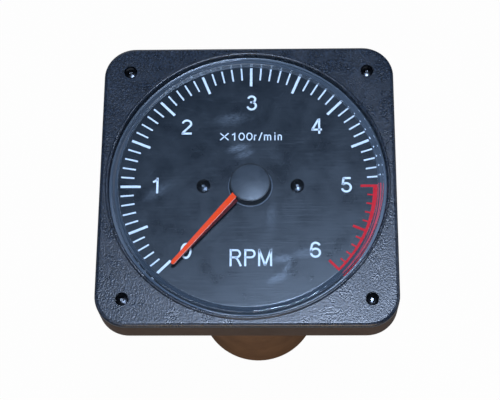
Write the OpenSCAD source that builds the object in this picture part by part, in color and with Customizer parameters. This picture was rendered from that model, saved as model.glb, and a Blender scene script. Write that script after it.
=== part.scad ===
// Electric tachometer: a round dial in a square bezel, with a long round case behind it.
// Sizes are in millimetres and angles in degrees. The origin lies on the case axis, in the plane
// where the square tray seats on a panel. +Z points out of the dial and +Y is up on the dial.

/* [Front plate] */
// Side of the square front plate and tray
plate_w = 110; // [100:1:130]
// Corner radius of the plate and tray
plate_corner_r = 11.7; // [9:0.1:14]
// Thickness of the black front plate
plate_t = 2.5; // [2.3:0.1:4]
// Rounding along the front edge of the plate
plate_edge_r = 1.4; // [0.4:0.1:2]
// Ring gap between the window wall and the plate
window_gap = 1.3; // [0.6:0.1:1.6]
// Width of the low lip round the opening
lip_w = 1.2; // [0.8:0.1:1.5]
// Height of the lip above the plate
lip_h = 1.05; // [0.3:0.05:1.4]

/* [Window] */
// Distance from the clear wall to the side of the plate
window_border = 4.7; // [4.4:0.1:8]
// Thickness of the clear wall
window_wall = 2.9; // [2:0.1:3.2]
// Thickness of the flat clear front
window_disc_t = 1.1; // [0.9:0.1:1.4]
// Height of the clear front above the plate
window_rise = 1.1; // [0.6:0.1:2]
// Rounding along the outer edge of the clear front
window_edge_r = 0.6; // [0.2:0.1:1]
// Width of the foot outside the wall
window_foot_w = 3; // [2.6:0.1:3.2]
// Thickness of the foot
window_foot_t = 1.5; // [1:0.1:2]
// Thickness of the rubber ring under the foot
gasket_t = 1; // [0.6:0.1:1.5]
// Width of the rubber ring under the foot
gasket_w = 1.5; // [1:0.1:1.6]

/* [Tray] */
// Depth of the square tray
tray_h = 11.7; // [11.5:0.1:16]
// Thickness of the tray floor
tray_floor = 3; // [2.5:0.1:3.2]
// Rounding along the rear edge of the tray
tray_edge_r = 0.8; // [0.3:0.1:1.5]

/* [Corner fixings] */
// Distance of each corner screw from the sides of the plate
corner_inset = 10; // [9:0.5:12]
// Radius of the corner screw thread
screw_r = 1.45; // [1.2:0.05:1.5]
// Radius of the corner screw head
screw_head_r = 2.3; // [1.9:0.05:2.3]
// Height of the corner screw head
screw_head_h = 1.4; // [1:0.1:1.6]
// Radius of the recess round the head
recess_r = 2.5; // [2.4:0.05:3]
// Length of the corner screw thread
screw_len = 9; // [6:0.5:9.5]
// Radius of the panel stud thread
stud_r = 2; // [1.5:0.1:2.5]
// Length of the panel stud behind the tray
stud_len = 18; // [12:1:24]
// Radius of the stud body held in the tray
stud_body_r = 3.2; // [3:0.1:3.6]

/* [Round case] */
// Outer radius of the round case
can_r = 27.3; // [27:0.1:29]
// Wall of the round case
can_wall = 2.3; // [2:0.1:2.6]
// Length of the round case behind the tray
can_len = 151; // [145:1:175]
// Width of the inner flange that lies on the tray floor
can_flange_w = 6.2; // [6:0.1:7]
// Thickness of that flange
can_flange_t = 1.6; // [1.2:0.1:1.8]
// Depth of the terminal well at the rear
well_depth = 15; // [14.5:0.5:20]
// Thickness of the rear cover
cover_t = 3; // [2.5:0.1:4]

/* [Dial] */
// Sideways shift of dial and movement from the case axis
dial_shift = 0.9; // [0:0.1:1.6]
// Thickness of the dial plate
dial_t = 1; // [0.6:0.1:1.2]
// Depth of the dial below the face of the plate
dial_depth = 5.3; // [5:0.1:6]
// Distance from the outside of the clear wall to the ends of the scale marks
mark_inset = 1.7; // [0.7:0.1:4]
// Length of a long mark
long_mark = 7.6; // [6:0.1:8]
// Width of a long mark
long_mark_w = 0.95; // [0.7:0.05:1.3]
// Length of a short mark
short_mark = 5; // [4:0.1:5.5]
// Width of a short mark
short_mark_w = 0.6; // [0.4:0.05:0.7]
// Width of the red arc
red_band_w = 3; // [1.5:0.1:4]
// Distance from the dial centre to each dial screw
dial_screw_x = 17.5; // [14:0.5:22]
// Radius of a dial screw head
dial_head_r = 2.55; // [2.2:0.05:3]
// Height of a dial screw head
dial_head_h = 1.5; // [1:0.1:1.8]

/* [Needle and hub] */
// Length of the needle tip that reaches over the long marks
needle_reach = 1.3; // [0:0.1:4]
// Width of the needle's flat face at the hub
needle_root_w = 2.4; // [1.6:0.1:3]
// Width of the needle's flat face at the tip
needle_tip_w = 1.45; // [0.8:0.05:2]
// Thickness of the needle's sheet
needle_t = 0.4; // [0.3:0.05:0.6]
// Width of the needle's folded side at the hub
needle_fold_w = 1.25; // [0.6:0.05:1.6]
// Drop of the needle's folded side at the hub
needle_fold_h = 1.4; // [0.6:0.1:1.6]
// Radius of the hub cap
cap_r = 7.5; // [6:0.1:9]
// Thickness of the hub cap
cap_t = 0.8; // [0.6:0.1:1.2]
// Radius of the boss at its foot
boss_r = 7.9; // [6.5:0.1:9.5]
// Angle of the needle below the zero mark at rest
rest_below_zero = 3; // [0:0.5:5]

/* [Movement] */
// Length of the pillars between the movement plates
pillar_len = 38.6; // [36:0.2:44]
// Thickness of the movement front plate
front_plate_t = 1.6; // [1.2:0.1:1.8]
// Thickness of the movement back plate
back_plate_t = 2; // [1.5:0.1:3]
// Radius of the movement pillars
pillar_r = 1.4; // [1.2:0.1:1.6]
// Radius of the spindle
spindle_r = 0.6; // [0.5:0.05:0.8]
// Height of the outer iron ring
yoke_h = 24; // [22:0.5:26]
// Thickness of the outer iron ring
yoke_t = 3.3; // [2.5:0.1:3.6]
// Height of the inner iron ring
pole_h = 12; // [9:0.5:13]
// Radial width of the inner iron ring
pole_w = 5; // [4:0.1:5.4]
// Thickness of the coil winding
winding_t = 1.3; // [0.9:0.1:1.5]
// Width of the coil along its sweep
coil_w = 2.2; // [1.6:0.1:2.6]

/* [Circuit board] */
// Width of the circuit board
board_w = 42; // [36:1:42]
// Gap between the circuit board and the rear of the movement
board_room = 5; // [3:0.5:15]
// Thickness of the circuit board
board_t = 1.6; // [1:0.1:2]

/* [Terminals] */
// Radius of the terminal studs
terminal_r = 2; // [1.5:0.1:2.5]
// Distance of the terminals from the case axis
terminal_circle = 12; // [11:0.5:13]
// Length of the terminal studs behind the cover
terminal_len = 12.5; // [10:0.5:13]

/* [Hidden] */
$fn = 96;

// Fits: a held part in its hole, a sliding fit, and room round a moving part
held_gap = 0.01;
seat_gap = 0.2;
run_gap = 0.05;
air_gap = 0.7;

// Levels of the bezel, from the panel seat forwards
face_z = tray_h + plate_t;
head_sink = 0.1;
screw_seat_z = face_z - screw_head_h - head_sink;
tap_depth = 2.2;
foot_z = tray_h - window_foot_t;
ledge_z = foot_z - gasket_t;
dial_z = face_z - dial_depth;
disc_top = face_z + window_rise;
disc_z = disc_top - window_disc_t;
wall_gap = 0.3;

// Radii of the bezel
screw_pitch = plate_w - 2 * corner_inset;
window_r = plate_w / 2 - window_border;
foot_r = window_r + window_foot_w;
opening_r = window_r + window_gap;
well_r = foot_r + seat_gap;
ledge_r = well_r - gasket_w - seat_gap;
dial_r = ledge_r - dial_shift - 0.4;
mark_r = window_r - mark_inset;

// Levels of needle and hub
cap_gap = 0.3;
cap_top = disc_z - cap_gap;
needle_top = cap_top - cap_t;
needle_z = needle_top - needle_t;
boss_gap = 0.3;
boss_z = dial_z + boss_gap;
boss_taper = 0.5;
cap_chamfer = 0.25;
needle_len = mark_r - long_mark + needle_reach;
needle_disc_r = 4;
tip_fold = 0.15;
mark_t = 0.08;
dial_hole_r = 3.1;
dial_pillar_r = 2.4;

// Scale: angles run anticlockwise from +X, seen from the front
zero_angle = 225;
scale_sweep = 270;
scale_steps = 60;
steps_per_long = 5;
red_from_step = 50;
step_angle = scale_sweep / scale_steps;
rest_angle = zero_angle + rest_below_zero;

// Levels of the movement, below the tray floor where negative
can_flange_r = can_r + can_flange_w;
can_in_r = can_r - can_wall;
case_gap = 0.4;
seal_groove = 0.8;
plate_z = tray_floor + can_flange_t;
plate_top = plate_z + front_plate_t;
back_z = plate_z - pillar_len;
yoke_top = back_z + yoke_h;
coil_mid_z = yoke_top - pole_h / 2 - winding_t - air_gap;

// Radii of the movement, from the case wall inwards
back_plate_r = can_in_r - dial_shift - 0.6;
pillar_circle = back_plate_r - pillar_r - 0.2;
yoke_r = pillar_circle - pillar_r - 0.3;
yoke_in_r = yoke_r - yoke_t;
coil_out_r = yoke_in_r - air_gap;
coil_open_out = coil_out_r - winding_t;
pole_r = coil_open_out - air_gap;
pole_in_r = pole_r - pole_w;
coil_open_in = pole_in_r - air_gap;
coil_in_r = coil_open_in - winding_t;
coil_open_h = pole_h + 2 * air_gap;
coil_h = coil_open_h + 2 * winding_t;
former_t = 0.35;
cheek_t = 0.25;
arm_t = 1;
arm_hub_r = 2;
arm_levels = [coil_mid_z - pole_h / 2, coil_mid_z + pole_h / 2 - arm_t];
magnet_half_angle = 12;
pole_gap_angle = 12;
dead_angle = 270;

// Fixed stop in the dead sector of the scale
stop_circle = 12;
stop_r = 1.2;
balance_t = 1.2;
balance_z = yoke_top + 4;
stop_clear = 0.3;
stop_half_angle = asin((stop_r + stop_clear) / stop_circle);
stop_sector_half = dead_angle - rest_angle - stop_half_angle;
tail_len = stop_circle - stop_r - 0.6;

// Hairsprings and bearings
spring_h = 1;
spring_w = 0.16;
spring_in_r = 1.5;
spring_out_r = 5.9;
spring_turns = 5;
spring_steps = 24;
spring_post_r = 0.6;
spring_post_circle = spring_out_r + spring_w / 2 + spring_post_r + 0.02;
collet_r = spring_in_r - spring_w / 2 - 0.03;
bearing_r = 2.5;
bearing_flange_r = 3.5;
bearing_flange_t = 0.8;
front_spring_z = plate_z - bearing_flange_t - 2;
rear_tip_z = back_z + 1.4;
rear_bore = 1.2;
spindle_end_gap = 0.1;
rear_spring_z = rear_tip_z + 1.7;
nut_t = 2.4;
rear_tail = 1.6;
rear_end_z = back_z - back_plate_t - nut_t - rear_tail;
lead_angle = 150;
lever_w = 1.5;
lever_len = 3.6;
post_tail = 1.5;
lead_r = 0.6;
bend_extra = 0.06;
bend_cut = 0.2;

// Small screws of the movement
small_screw_r = 1.2;
small_head_r = 2.2;
small_head_h = 1.3;
movement_screw_circle = can_r + can_flange_w / 2 + 0.2;
pillar_screw_r = 0.9;
pillar_head_r = 1.8;
pillar_head_h = 1.1;
pillar_screw_len = 4.5;
pillar_angles = [90, 210, 330];

// Rear end of the case
can_end = -can_len;
cover_z = can_end + well_depth;
cover_top = cover_z + cover_t;
skirt_wall = can_wall - 0.7;
cover_r = can_r - skirt_wall - 0.1;
cover_boss_r = 3;
cover_boss_len = 10;
cover_screw_grip = 6;
cover_screw_spare = 1;
cover_screw_circle = can_in_r - cover_boss_r + 0.2;
cover_boss_angles = [30, 150, 270];
terminal_angles = [90, 210, 330];
terminal_nut_r = 4;
terminal_nut_t = 3;
washer_r = 4.2;
washer_t = 0.8;
stud_over = 1.2;

// Circuit board and what it carries
board_foot = 6;
board_z = cover_top + board_foot;
board_top = rear_end_z - board_room;
board_len = board_top - board_z;
bracket_w = 8;
bracket_gap = 0.5;
bracket_x = cover_screw_circle * cos(cover_boss_angles[0]) - cover_boss_r - bracket_w / 2 - bracket_gap;
bracket_h = 12;
bracket_t = 1.2;
bracket_leg = 7;
bracket_hole = 2.5;
bracket_hole_up = bracket_h - 3;
chip = [19, 3.4, 6.4];
trimmer_size = [9.5, 4.8, 9.5];
capacitor_r = 5;
capacitor_len = 12;
resistor_r = 1.2;
resistor_len = 7;
resistor_count = 4;
resistor_x = 5;
resistor_up = 16;
resistor_step = 5;
capacitor_x = -8;
capacitor_up = 18;
trimmer_drop = 24;
trimmer_knob_r = 2.4;
trimmer_knob_t = 0.6;
lead_in_x = -6;
lead_out_x = -16;
lead_end = 6;
lead_rise = 2;
lead_bend = 4;
lead_low = 12;
lead_side_x = 18;

plastic_black = "#23282e";
plastic_brown = "#4b3a2e";
steel_black = "#1b1c1e";
brass = "#b5964f";
steel = "#a9adb1";
iron = "#6f7377";
rubber = "#15171a";

// Shared shapes

// Places its children at the four corners of a square of side d
module at_corners(d) {
    for (x = [-1, 1], y = [-1, 1]) translate([x * d / 2, y * d / 2, 0]) children();
}

// Places its children on a circle at the given angles
module at_angles(r, angles) {
    for (a = angles) rotate([0, 0, a]) translate([r, 0, 0]) children();
}

// Moves its children onto the dial axis
module on_dial_axis() {
    translate([dial_shift, 0, 0]) children();
}

// Flat ring with its lower face at z = 0
module ring(outer, inner, h) {
    difference() {
        cylinder(r = outer, h = h);
        translate([0, 0, -1]) cylinder(r = inner, h = h + 2);
    }
}

// Edge section of a plate: r deep, h high, rounded by e at its outer top corner
module edge_profile(r, h, e) {
    square([r - e, h]);
    square([r, h - e]);
    translate([r - e, h - e]) intersection() {
        circle(r = e);
        square(e);
    }
}

// Square plate with round corners and a rounded upper edge
module rounded_plate(w, r, h, e) {
    side = w - 2 * r;
    at_quarters = [[1, 1, 0], [-1, 1, 90], [-1, -1, 180], [1, -1, 270]];
    for (q = at_quarters) {
        translate([q[0] * side / 2, q[1] * side / 2, 0]) rotate([0, 0, q[2]])
            rotate_extrude(angle = 90) edge_profile(r, h, e);
        rotate([0, 0, q[2]]) translate([side / 2, side / 2, 0]) rotate([90, 0, 0])
            linear_extrude(height = side) edge_profile(r, h, e);
    }
    translate([-side / 2, -side / 2, 0]) cube([side, side, h]);
}

// Cross-head screw: head from z = 0 upwards, thread downwards
module cross_screw(head_r, head_h, r, len) {
    slot_w = head_r * 0.34;
    slot_len = head_r * 1.25;
    slot_depth = head_h * 0.7;
    crown = head_h * 0.35;
    difference() {
        union() {
            cylinder(r = head_r, h = head_h - crown);
            translate([0, 0, head_h - crown]) cylinder(r1 = head_r, r2 = head_r * 0.72, h = crown);
            translate([0, 0, -len]) cylinder(r = r, h = len);
        }
        for (a = [0, 90]) rotate([0, 0, a])
            translate([-slot_len / 2, -slot_w / 2, head_h - slot_depth])
                cube([slot_len, slot_w, slot_depth + 1]);
    }
}

// Hexagon nut with a plain bore
module hex_nut(r, bore, h) {
    difference() {
        cylinder(r = r, h = h, $fn = 6);
        translate([0, 0, -1]) cylinder(r = bore, h = h + 2);
    }
}

// Round rod between two points
module rod(a, b, r) {
    d = b - a;
    l = norm(d);
    translate(a) rotate([0, acos(d[2] / l), atan2(d[1], d[0])]) cylinder(r = r, h = l, $fn = 24);
}

// Insulated lead along a list of points. The ball at each bend is a little wider than the lead
module lead(points, r) {
    last = len(points) - 2;
    for (i = [0 : last]) {
        step = points[i + 1] - points[i];
        cut = bend_cut * step / norm(step);
        from = i > 0 ? points[i] + cut : points[i];
        to = i < last ? points[i + 1] - cut : points[i + 1];
        rod(from, to, r);
    }
    for (i = [1 : last]) translate(points[i]) sphere(r = r + bend_extra, $fn = 24);
}

// Point on the movement at radius r and angle a
function polar(r, a, z) = [dial_shift + r * cos(a), r * sin(a), z];

// Bezel

module front_frame() {
    lip_r = lip_w / 2;
    color(plastic_black) difference() {
        union() {
            translate([0, 0, tray_h]) rounded_plate(plate_w, plate_corner_r, plate_t, plate_edge_r);
            translate([0, 0, face_z]) rotate_extrude($fn = 180) translate([opening_r + lip_r, 0]) {
                translate([-lip_r, -lip_w]) square([lip_w, lip_h + lip_r]);
                translate([0, lip_h - lip_r]) circle(r = lip_r, $fn = 36);
            }
        }
        translate([0, 0, tray_h - 1]) cylinder(r = opening_r, h = plate_t + lip_h + 2, $fn = 180);
        at_corners(screw_pitch) {
            translate([0, 0, screw_seat_z]) cylinder(r = recess_r, h = plate_t);
            translate([0, 0, tray_h - 1]) cylinder(r = screw_r + seat_gap, h = plate_t + 2);
        }
    }
}

module window() {
    color("lightcyan", 0.35) rotate_extrude($fn = 180) {
        translate([0, disc_z]) edge_profile(window_r, window_disc_t, window_edge_r);
        translate([window_r - window_wall, dial_z + wall_gap])
            square([window_wall, disc_z - dial_z - wall_gap + (window_disc_t - window_edge_r) / 2]);
        translate([window_r - window_wall, foot_z])
            square([window_wall + window_foot_w, window_foot_t]);
    }
}

module window_gasket() {
    color(rubber) translate([0, 0, ledge_z]) ring(foot_r, foot_r - gasket_w, gasket_t);
}

module frame_screws() {
    color(steel_black) at_corners(screw_pitch) translate([0, 0, screw_seat_z])
        cross_screw(screw_head_r, screw_head_h, screw_r, screw_len);
}

module corner_studs() {
    color(steel) at_corners(screw_pitch) difference() {
        union() {
            cylinder(r = stud_body_r, h = tray_h);
            translate([0, 0, -stud_len]) cylinder(r = stud_r, h = stud_len + 1);
        }
        translate([0, 0, screw_seat_z - screw_len - 2 * seat_gap])
            cylinder(r = screw_r + run_gap, h = tray_h);
    }
}

module rear_tray() {
    color(plastic_brown) difference() {
        translate([0, 0, tray_h]) mirror([0, 0, 1])
            rounded_plate(plate_w, plate_corner_r, tray_h, tray_edge_r);
        translate([0, 0, ledge_z]) cylinder(r = well_r, h = tray_h, $fn = 180);
        translate([0, 0, tray_floor]) cylinder(r = ledge_r, h = tray_h, $fn = 180);
        translate([0, 0, -1]) cylinder(r = can_r + case_gap, h = tray_floor + 2);
        at_corners(screw_pitch)
            translate([0, 0, -1]) cylinder(r = stud_body_r + held_gap, h = tray_h + 2);
        at_angles(movement_screw_circle, pillar_angles) translate([0, 0, tray_floor - tap_depth])
            cylinder(r = small_screw_r + held_gap, h = tap_depth + 1);
    }
}

// Round case and rear end

module rear_can() {
    color(plastic_brown) difference() {
        union() {
            translate([0, 0, can_end]) cylinder(r = can_r, h = can_len);
            translate([0, 0, -1]) cylinder(r = can_r - seal_groove, h = plate_z + 1);
            translate([0, 0, tray_floor]) cylinder(r = can_flange_r, h = can_flange_t);
        }
        difference() {
            translate([0, 0, cover_top]) cylinder(r = can_in_r, h = can_len + tray_floor);
            at_angles(cover_screw_circle, cover_boss_angles)
                translate([0, 0, cover_top - 1]) cylinder(r = cover_boss_r, h = cover_boss_len + 1);
        }
        translate([0, 0, can_end - 1]) cylinder(r = can_r - skirt_wall, h = well_depth + cover_t + 1);
        at_angles(cover_screw_circle, cover_boss_angles)
            translate([0, 0, cover_top - 1])
                cylinder(r = small_screw_r + held_gap, h = cover_screw_grip + cover_screw_spare + 1);
        at_angles(movement_screw_circle, pillar_angles)
            translate([0, 0, tray_floor - 1]) cylinder(r = small_screw_r + seat_gap, h = 4);
    }
}

module case_seal() {
    color(rubber) ring(can_r + case_gap - held_gap, can_r - seal_groove + held_gap,
        tray_floor - held_gap);
}

module end_cover() {
    color(plastic_black) difference() {
        translate([0, 0, cover_z]) cylinder(r = cover_r, h = cover_t);
        at_angles(cover_screw_circle, cover_boss_angles)
            translate([0, 0, cover_z - 1]) cylinder(r = small_screw_r + seat_gap, h = cover_t + 2);
        at_angles(terminal_circle, terminal_angles)
            translate([0, 0, cover_z - 1]) cylinder(r = terminal_r + held_gap, h = cover_t + 2);
        for (x = [-bracket_x, bracket_x])
            translate([x, bracket_leg - bracket_hole + board_t / 2, cover_z - 1])
                cylinder(r = small_screw_r + held_gap, h = cover_t + 2);
    }
}

module cover_screws() {
    color(steel_black) at_angles(cover_screw_circle, cover_boss_angles)
        translate([0, 0, cover_z]) mirror([0, 0, 1])
            cross_screw(small_head_r, small_head_h, small_screw_r, cover_t + cover_screw_grip);
}

module terminal_studs() {
    inner = cover_t + terminal_nut_t + stud_over;
    color(brass) at_angles(terminal_circle, terminal_angles)
        translate([0, 0, cover_z - terminal_len]) cylinder(r = terminal_r, h = terminal_len + inner);
}

module terminal_nuts() {
    clamp_z = cover_z - washer_t - terminal_nut_t;
    color(brass) at_angles(terminal_circle, terminal_angles) {
        translate([0, 0, cover_top]) hex_nut(terminal_nut_r, terminal_r + held_gap, terminal_nut_t);
        translate([0, 0, clamp_z]) hex_nut(terminal_nut_r, terminal_r + held_gap, terminal_nut_t);
    }
}

module terminal_washers() {
    color(steel) at_angles(terminal_circle, terminal_angles)
        translate([0, 0, cover_z - washer_t]) ring(washer_r, terminal_r + seat_gap, washer_t);
}

// Dial

module dial_plate() {
    color("#2b3440") on_dial_axis() difference() {
        translate([0, 0, dial_z - dial_t]) cylinder(r = dial_r, h = dial_t, $fn = 180);
        translate([0, 0, dial_z - dial_t - 1]) cylinder(r = dial_hole_r, h = dial_t + 2);
        for (x = [-dial_screw_x, dial_screw_x]) translate([x, 0, dial_z - dial_t - 1])
            cylinder(r = small_screw_r + seat_gap, h = dial_t + 2);
    }
}

// One scale mark, number i counted clockwise from zero
module mark(i) {
    long = i % steps_per_long == 0;
    l = long ? long_mark : short_mark;
    w = long ? long_mark_w : short_mark_w;
    rotate([0, 0, zero_angle - i * step_angle]) translate([mark_r - l, -w / 2, 0]) cube([l, w, mark_t]);
}

module scale_marks() {
    color("white") on_dial_axis() translate([0, 0, dial_z])
        for (i = [0 : red_from_step - 1]) mark(i);
}

module red_zone() {
    color("crimson") on_dial_axis() translate([0, 0, dial_z]) {
        mark_angle = asin(long_mark_w / mark_r);
        rotate([0, 0, zero_angle - scale_sweep - mark_angle / 2])
            rotate_extrude(angle = (scale_steps - red_from_step) * step_angle + mark_angle, $fn = 180)
                translate([mark_r - red_band_w, 0]) square([red_band_w, mark_t]);
        for (i = [red_from_step : scale_steps]) mark(i);
    }
}

module dial_pillars() {
    pillar_top = dial_z - dial_t;
    color(brass) on_dial_axis() for (x = [-dial_screw_x, dial_screw_x]) translate([x, 0, plate_top])
        ring(dial_pillar_r, small_screw_r + seat_gap, pillar_top - plate_top);
}

module dial_screws() {
    color(steel_black) on_dial_axis() for (x = [-dial_screw_x, dial_screw_x])
        translate([x, 0, dial_z]) rotate([0, 0, 20])
            cross_screw(dial_head_r, dial_head_h, small_screw_r, dial_z - plate_z - 0.3);
}

// Movement, fixed parts

module movement_plate() {
    color("#8f949a") difference() {
        translate([0, 0, plate_z]) cylinder(r = can_flange_r, h = front_plate_t);
        at_angles(movement_screw_circle, pillar_angles)
            translate([0, 0, plate_z - 1]) cylinder(r = small_screw_r + seat_gap, h = front_plate_t + 2);
        on_dial_axis() translate([0, 0, plate_z - 1]) {
            cylinder(r = bearing_r + held_gap, h = front_plate_t + 2);
            for (x = [-dial_screw_x, dial_screw_x]) translate([x, 0, 0])
                cylinder(r = small_screw_r + held_gap, h = front_plate_t + 2);
            at_angles(pillar_circle, pillar_angles)
                cylinder(r = pillar_screw_r + seat_gap, h = front_plate_t + 2);
            at_angles(stop_circle, [dead_angle]) cylinder(r = stop_r / 2 + held_gap, h = front_plate_t + 2);
        }
    }
}

module movement_screws() {
    color(steel) at_angles(movement_screw_circle, pillar_angles)
        translate([0, 0, plate_top])
            cross_screw(small_head_r, small_head_h, small_screw_r, plate_top - tray_floor + 2);
}

module movement_pillars() {
    color(brass) on_dial_axis() at_angles(pillar_circle, pillar_angles) difference() {
        translate([0, 0, back_z]) cylinder(r = pillar_r, h = pillar_len);
        for (z = [back_z - 1, plate_z - pillar_screw_len]) translate([0, 0, z])
            cylinder(r = pillar_screw_r + held_gap, h = pillar_screw_len + 1);
    }
}

module pillar_screws() {
    color(steel) on_dial_axis() at_angles(pillar_circle, pillar_angles) {
        translate([0, 0, plate_top])
            cross_screw(pillar_head_r, pillar_head_h, pillar_screw_r, front_plate_t + 3);
        translate([0, 0, back_z - back_plate_t]) mirror([0, 0, 1])
            cross_screw(pillar_head_r, pillar_head_h, pillar_screw_r, back_plate_t + 3);
    }
}

module back_plate() {
    color("#8f949a") on_dial_axis() difference() {
        translate([0, 0, back_z - back_plate_t]) cylinder(r = back_plate_r, h = back_plate_t);
        translate([0, 0, back_z - back_plate_t - 1]) {
            cylinder(r = bearing_r + held_gap, h = back_plate_t + 2);
            at_angles(pillar_circle, pillar_angles)
                cylinder(r = pillar_screw_r + seat_gap, h = back_plate_t + 2);
            at_angles(pillar_circle, [lead_angle]) cylinder(r = lead_r + 0.4, h = back_plate_t + 2);
            at_angles(spring_post_circle, [lead_angle])
                cylinder(r = spring_post_r + held_gap, h = back_plate_t + 2);
        }
    }
}

module front_bearing() {
    color("#b06a4a") on_dial_axis() difference() {
        union() {
            translate([0, 0, plate_z - bearing_flange_t])
                cylinder(r = bearing_flange_r, h = bearing_flange_t);
            translate([0, 0, plate_z - bearing_flange_t / 2])
                cylinder(r = bearing_r, h = front_plate_t + bearing_flange_t / 2);
        }
        translate([0, 0, plate_z - 3]) cylinder(r = spindle_r + run_gap, h = front_plate_t + 5);
    }
}

module rear_bearing() {
    slot_w = 0.8;
    slot_depth = 1;
    color(brass) on_dial_axis() difference() {
        translate([0, 0, rear_end_z]) cylinder(r = bearing_r, h = rear_tip_z - rear_end_z);
        translate([0, 0, rear_tip_z - rear_bore]) cylinder(r = spindle_r + run_gap, h = rear_bore + 1);
        translate([-bearing_r - 1, -slot_w / 2, rear_end_z - 1])
            cube([2 * bearing_r + 2, slot_w, slot_depth + 1]);
    }
}

module bearing_nut() {
    color(brass) on_dial_axis() translate([0, 0, back_z - back_plate_t - nut_t])
        hex_nut(4.6, bearing_r + held_gap, nut_t);
}

module yoke_ring() {
    color(iron) on_dial_axis() translate([0, 0, back_z]) ring(yoke_r, yoke_in_r, yoke_h);
}

module pole_ring() {
    start = dead_angle + magnet_half_angle + pole_gap_angle;
    color(iron) on_dial_axis() translate([0, 0, coil_mid_z - pole_h / 2]) rotate([0, 0, start])
        rotate_extrude(angle = 360 - pole_gap_angle) translate([pole_in_r, 0]) square([pole_w, pole_h]);
}

module magnet() {
    color("#4a4d52") on_dial_axis() translate([0, 0, coil_mid_z - pole_h / 2])
        rotate([0, 0, dead_angle - magnet_half_angle])
            rotate_extrude(angle = 2 * magnet_half_angle)
                translate([pole_r + held_gap, 0]) square([yoke_in_r - pole_r - 2 * held_gap, pole_h]);
}

module zero_lever() {
    ring_r = bearing_flange_r + lever_w;
    color("#c9a24a") on_dial_axis() {
        translate([0, 0, plate_z - bearing_flange_t])
            ring(ring_r, bearing_flange_r + run_gap, bearing_flange_t);
        rotate([0, 0, lead_angle]) {
            translate([ring_r - 0.4, -1, plate_z - bearing_flange_t])
                cube([lever_len + 0.4, 2, bearing_flange_t]);
            translate([spring_post_circle, 0, front_spring_z])
                cylinder(r = spring_post_r, h = plate_z - front_spring_z - 0.1);
        }
    }
}

module rear_spring_post() {
    color(brass) on_dial_axis() at_angles(spring_post_circle, [lead_angle])
        translate([0, 0, back_z - back_plate_t - post_tail])
            cylinder(r = spring_post_r, h = rear_spring_z + spring_h - back_z + back_plate_t + post_tail);
}

module stop_post() {
    color(steel) on_dial_axis() at_angles(stop_circle, [dead_angle]) {
        translate([0, 0, balance_z - 0.5]) cylinder(r = stop_r, h = plate_z - balance_z + 0.5);
        translate([0, 0, plate_z - 0.5]) cylinder(r = stop_r / 2, h = front_plate_t + 0.5);
    }
}

// Centre line radius of a hairspring after t turns
function spring_radius(t) = spring_in_r + (spring_out_r - spring_in_r) * t / spring_turns;

// Flat spiral strip that ends at the lead angle
module hairspring() {
    steps = spring_turns * spring_steps;
    turn = [for (i = [0 : steps]) i / spring_steps];
    outer = [for (t = turn) (spring_radius(t) + spring_w / 2) * [cos(360 * t), sin(360 * t)]];
    inner = [for (i = [steps : -1 : 0])
        (spring_radius(turn[i]) - spring_w / 2) * [cos(360 * turn[i]), sin(360 * turn[i])]];
    rotate([0, 0, lead_angle]) linear_extrude(height = spring_h) polygon(concat(outer, inner));
}

module front_hairspring() {
    color("#d8c27a") on_dial_axis() translate([0, 0, front_spring_z]) hairspring();
}

module rear_hairspring() {
    color("#d8c27a") on_dial_axis() translate([0, 0, rear_spring_z]) hairspring();
}

// Moving parts, drawn at the needle's rest angle

module spindle() {
    low = rear_tip_z - rear_bore + spindle_end_gap;
    color(steel) on_dial_axis() translate([0, 0, low])
        cylinder(r = spindle_r, h = needle_top - low);
}

module collet(z) {
    color(brass) on_dial_axis() translate([0, 0, z - 0.3])
        ring(collet_r, spindle_r + held_gap, spring_h + 0.6);
}

module front_collet() {
    collet(front_spring_z);
}

module rear_collet() {
    collet(rear_spring_z);
}

// Rectangular frame round the inner iron ring, from wall w_in to wall w_out of the coil
module coil_loop(inset_in, inset_out, w) {
    translate([0, -w / 2, coil_mid_z]) difference() {
        translate([coil_in_r + inset_out, 0, -coil_h / 2 + inset_out])
            cube([coil_out_r - coil_in_r - 2 * inset_out, w, coil_h - 2 * inset_out]);
        translate([coil_in_r + inset_in, -1, -coil_h / 2 + inset_in])
            cube([coil_out_r - coil_in_r - 2 * inset_in, w + 2, coil_h - 2 * inset_in]);
    }
}

module coil_former() {
    color("#c4c8cc") on_dial_axis() rotate([0, 0, rest_angle]) {
        coil_loop(winding_t, winding_t - former_t, coil_w);
        for (y = [-1, 1]) translate([0, y * (coil_w - cheek_t) / 2, 0]) {
            coil_loop(winding_t, 0, cheek_t);
            for (z = arm_levels) translate([coil_in_r - 0.5, -cheek_t / 2, z]) cube([1, cheek_t, arm_t]);
        }
        for (z = arm_levels) translate([0, 0, z]) difference() {
            union() {
                cylinder(r = arm_hub_r, h = arm_t);
                translate([0, -coil_w / 2, 0]) cube([coil_in_r, coil_w, arm_t]);
            }
            translate([0, 0, -1]) cylinder(r = spindle_r + held_gap, h = arm_t + 2);
        }
    }
}

module moving_coil() {
    color("#a8562f") on_dial_axis() rotate([0, 0, rest_angle])
        coil_loop(winding_t - former_t - held_gap, 2 * held_gap, coil_w - 2 * cheek_t - 2 * held_gap);
}

module balance_arm() {
    color("#8d9298") on_dial_axis() rotate([0, 0, rest_angle]) translate([0, 0, balance_z])
        difference() {
            union() {
                cylinder(r = 2.2, h = balance_t);
                rotate([0, 0, -stop_sector_half]) rotate_extrude(angle = 2 * stop_sector_half)
                    translate([1.5, 0]) square([stop_circle + stop_r - 1.5, balance_t]);
                translate([-tail_len, -0.7, 0]) cube([tail_len, 1.4, balance_t]);
            }
            translate([0, 0, -1]) cylinder(r = spindle_r + held_gap, h = balance_t + 2);
        }
}

module balance_weight() {
    weight_r = 2.1;
    color(brass) on_dial_axis() rotate([0, 0, rest_angle])
        translate([-tail_len + weight_r + 0.2, 0, balance_z + balance_t]) cylinder(r = weight_r, h = 2.4);
}

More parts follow.
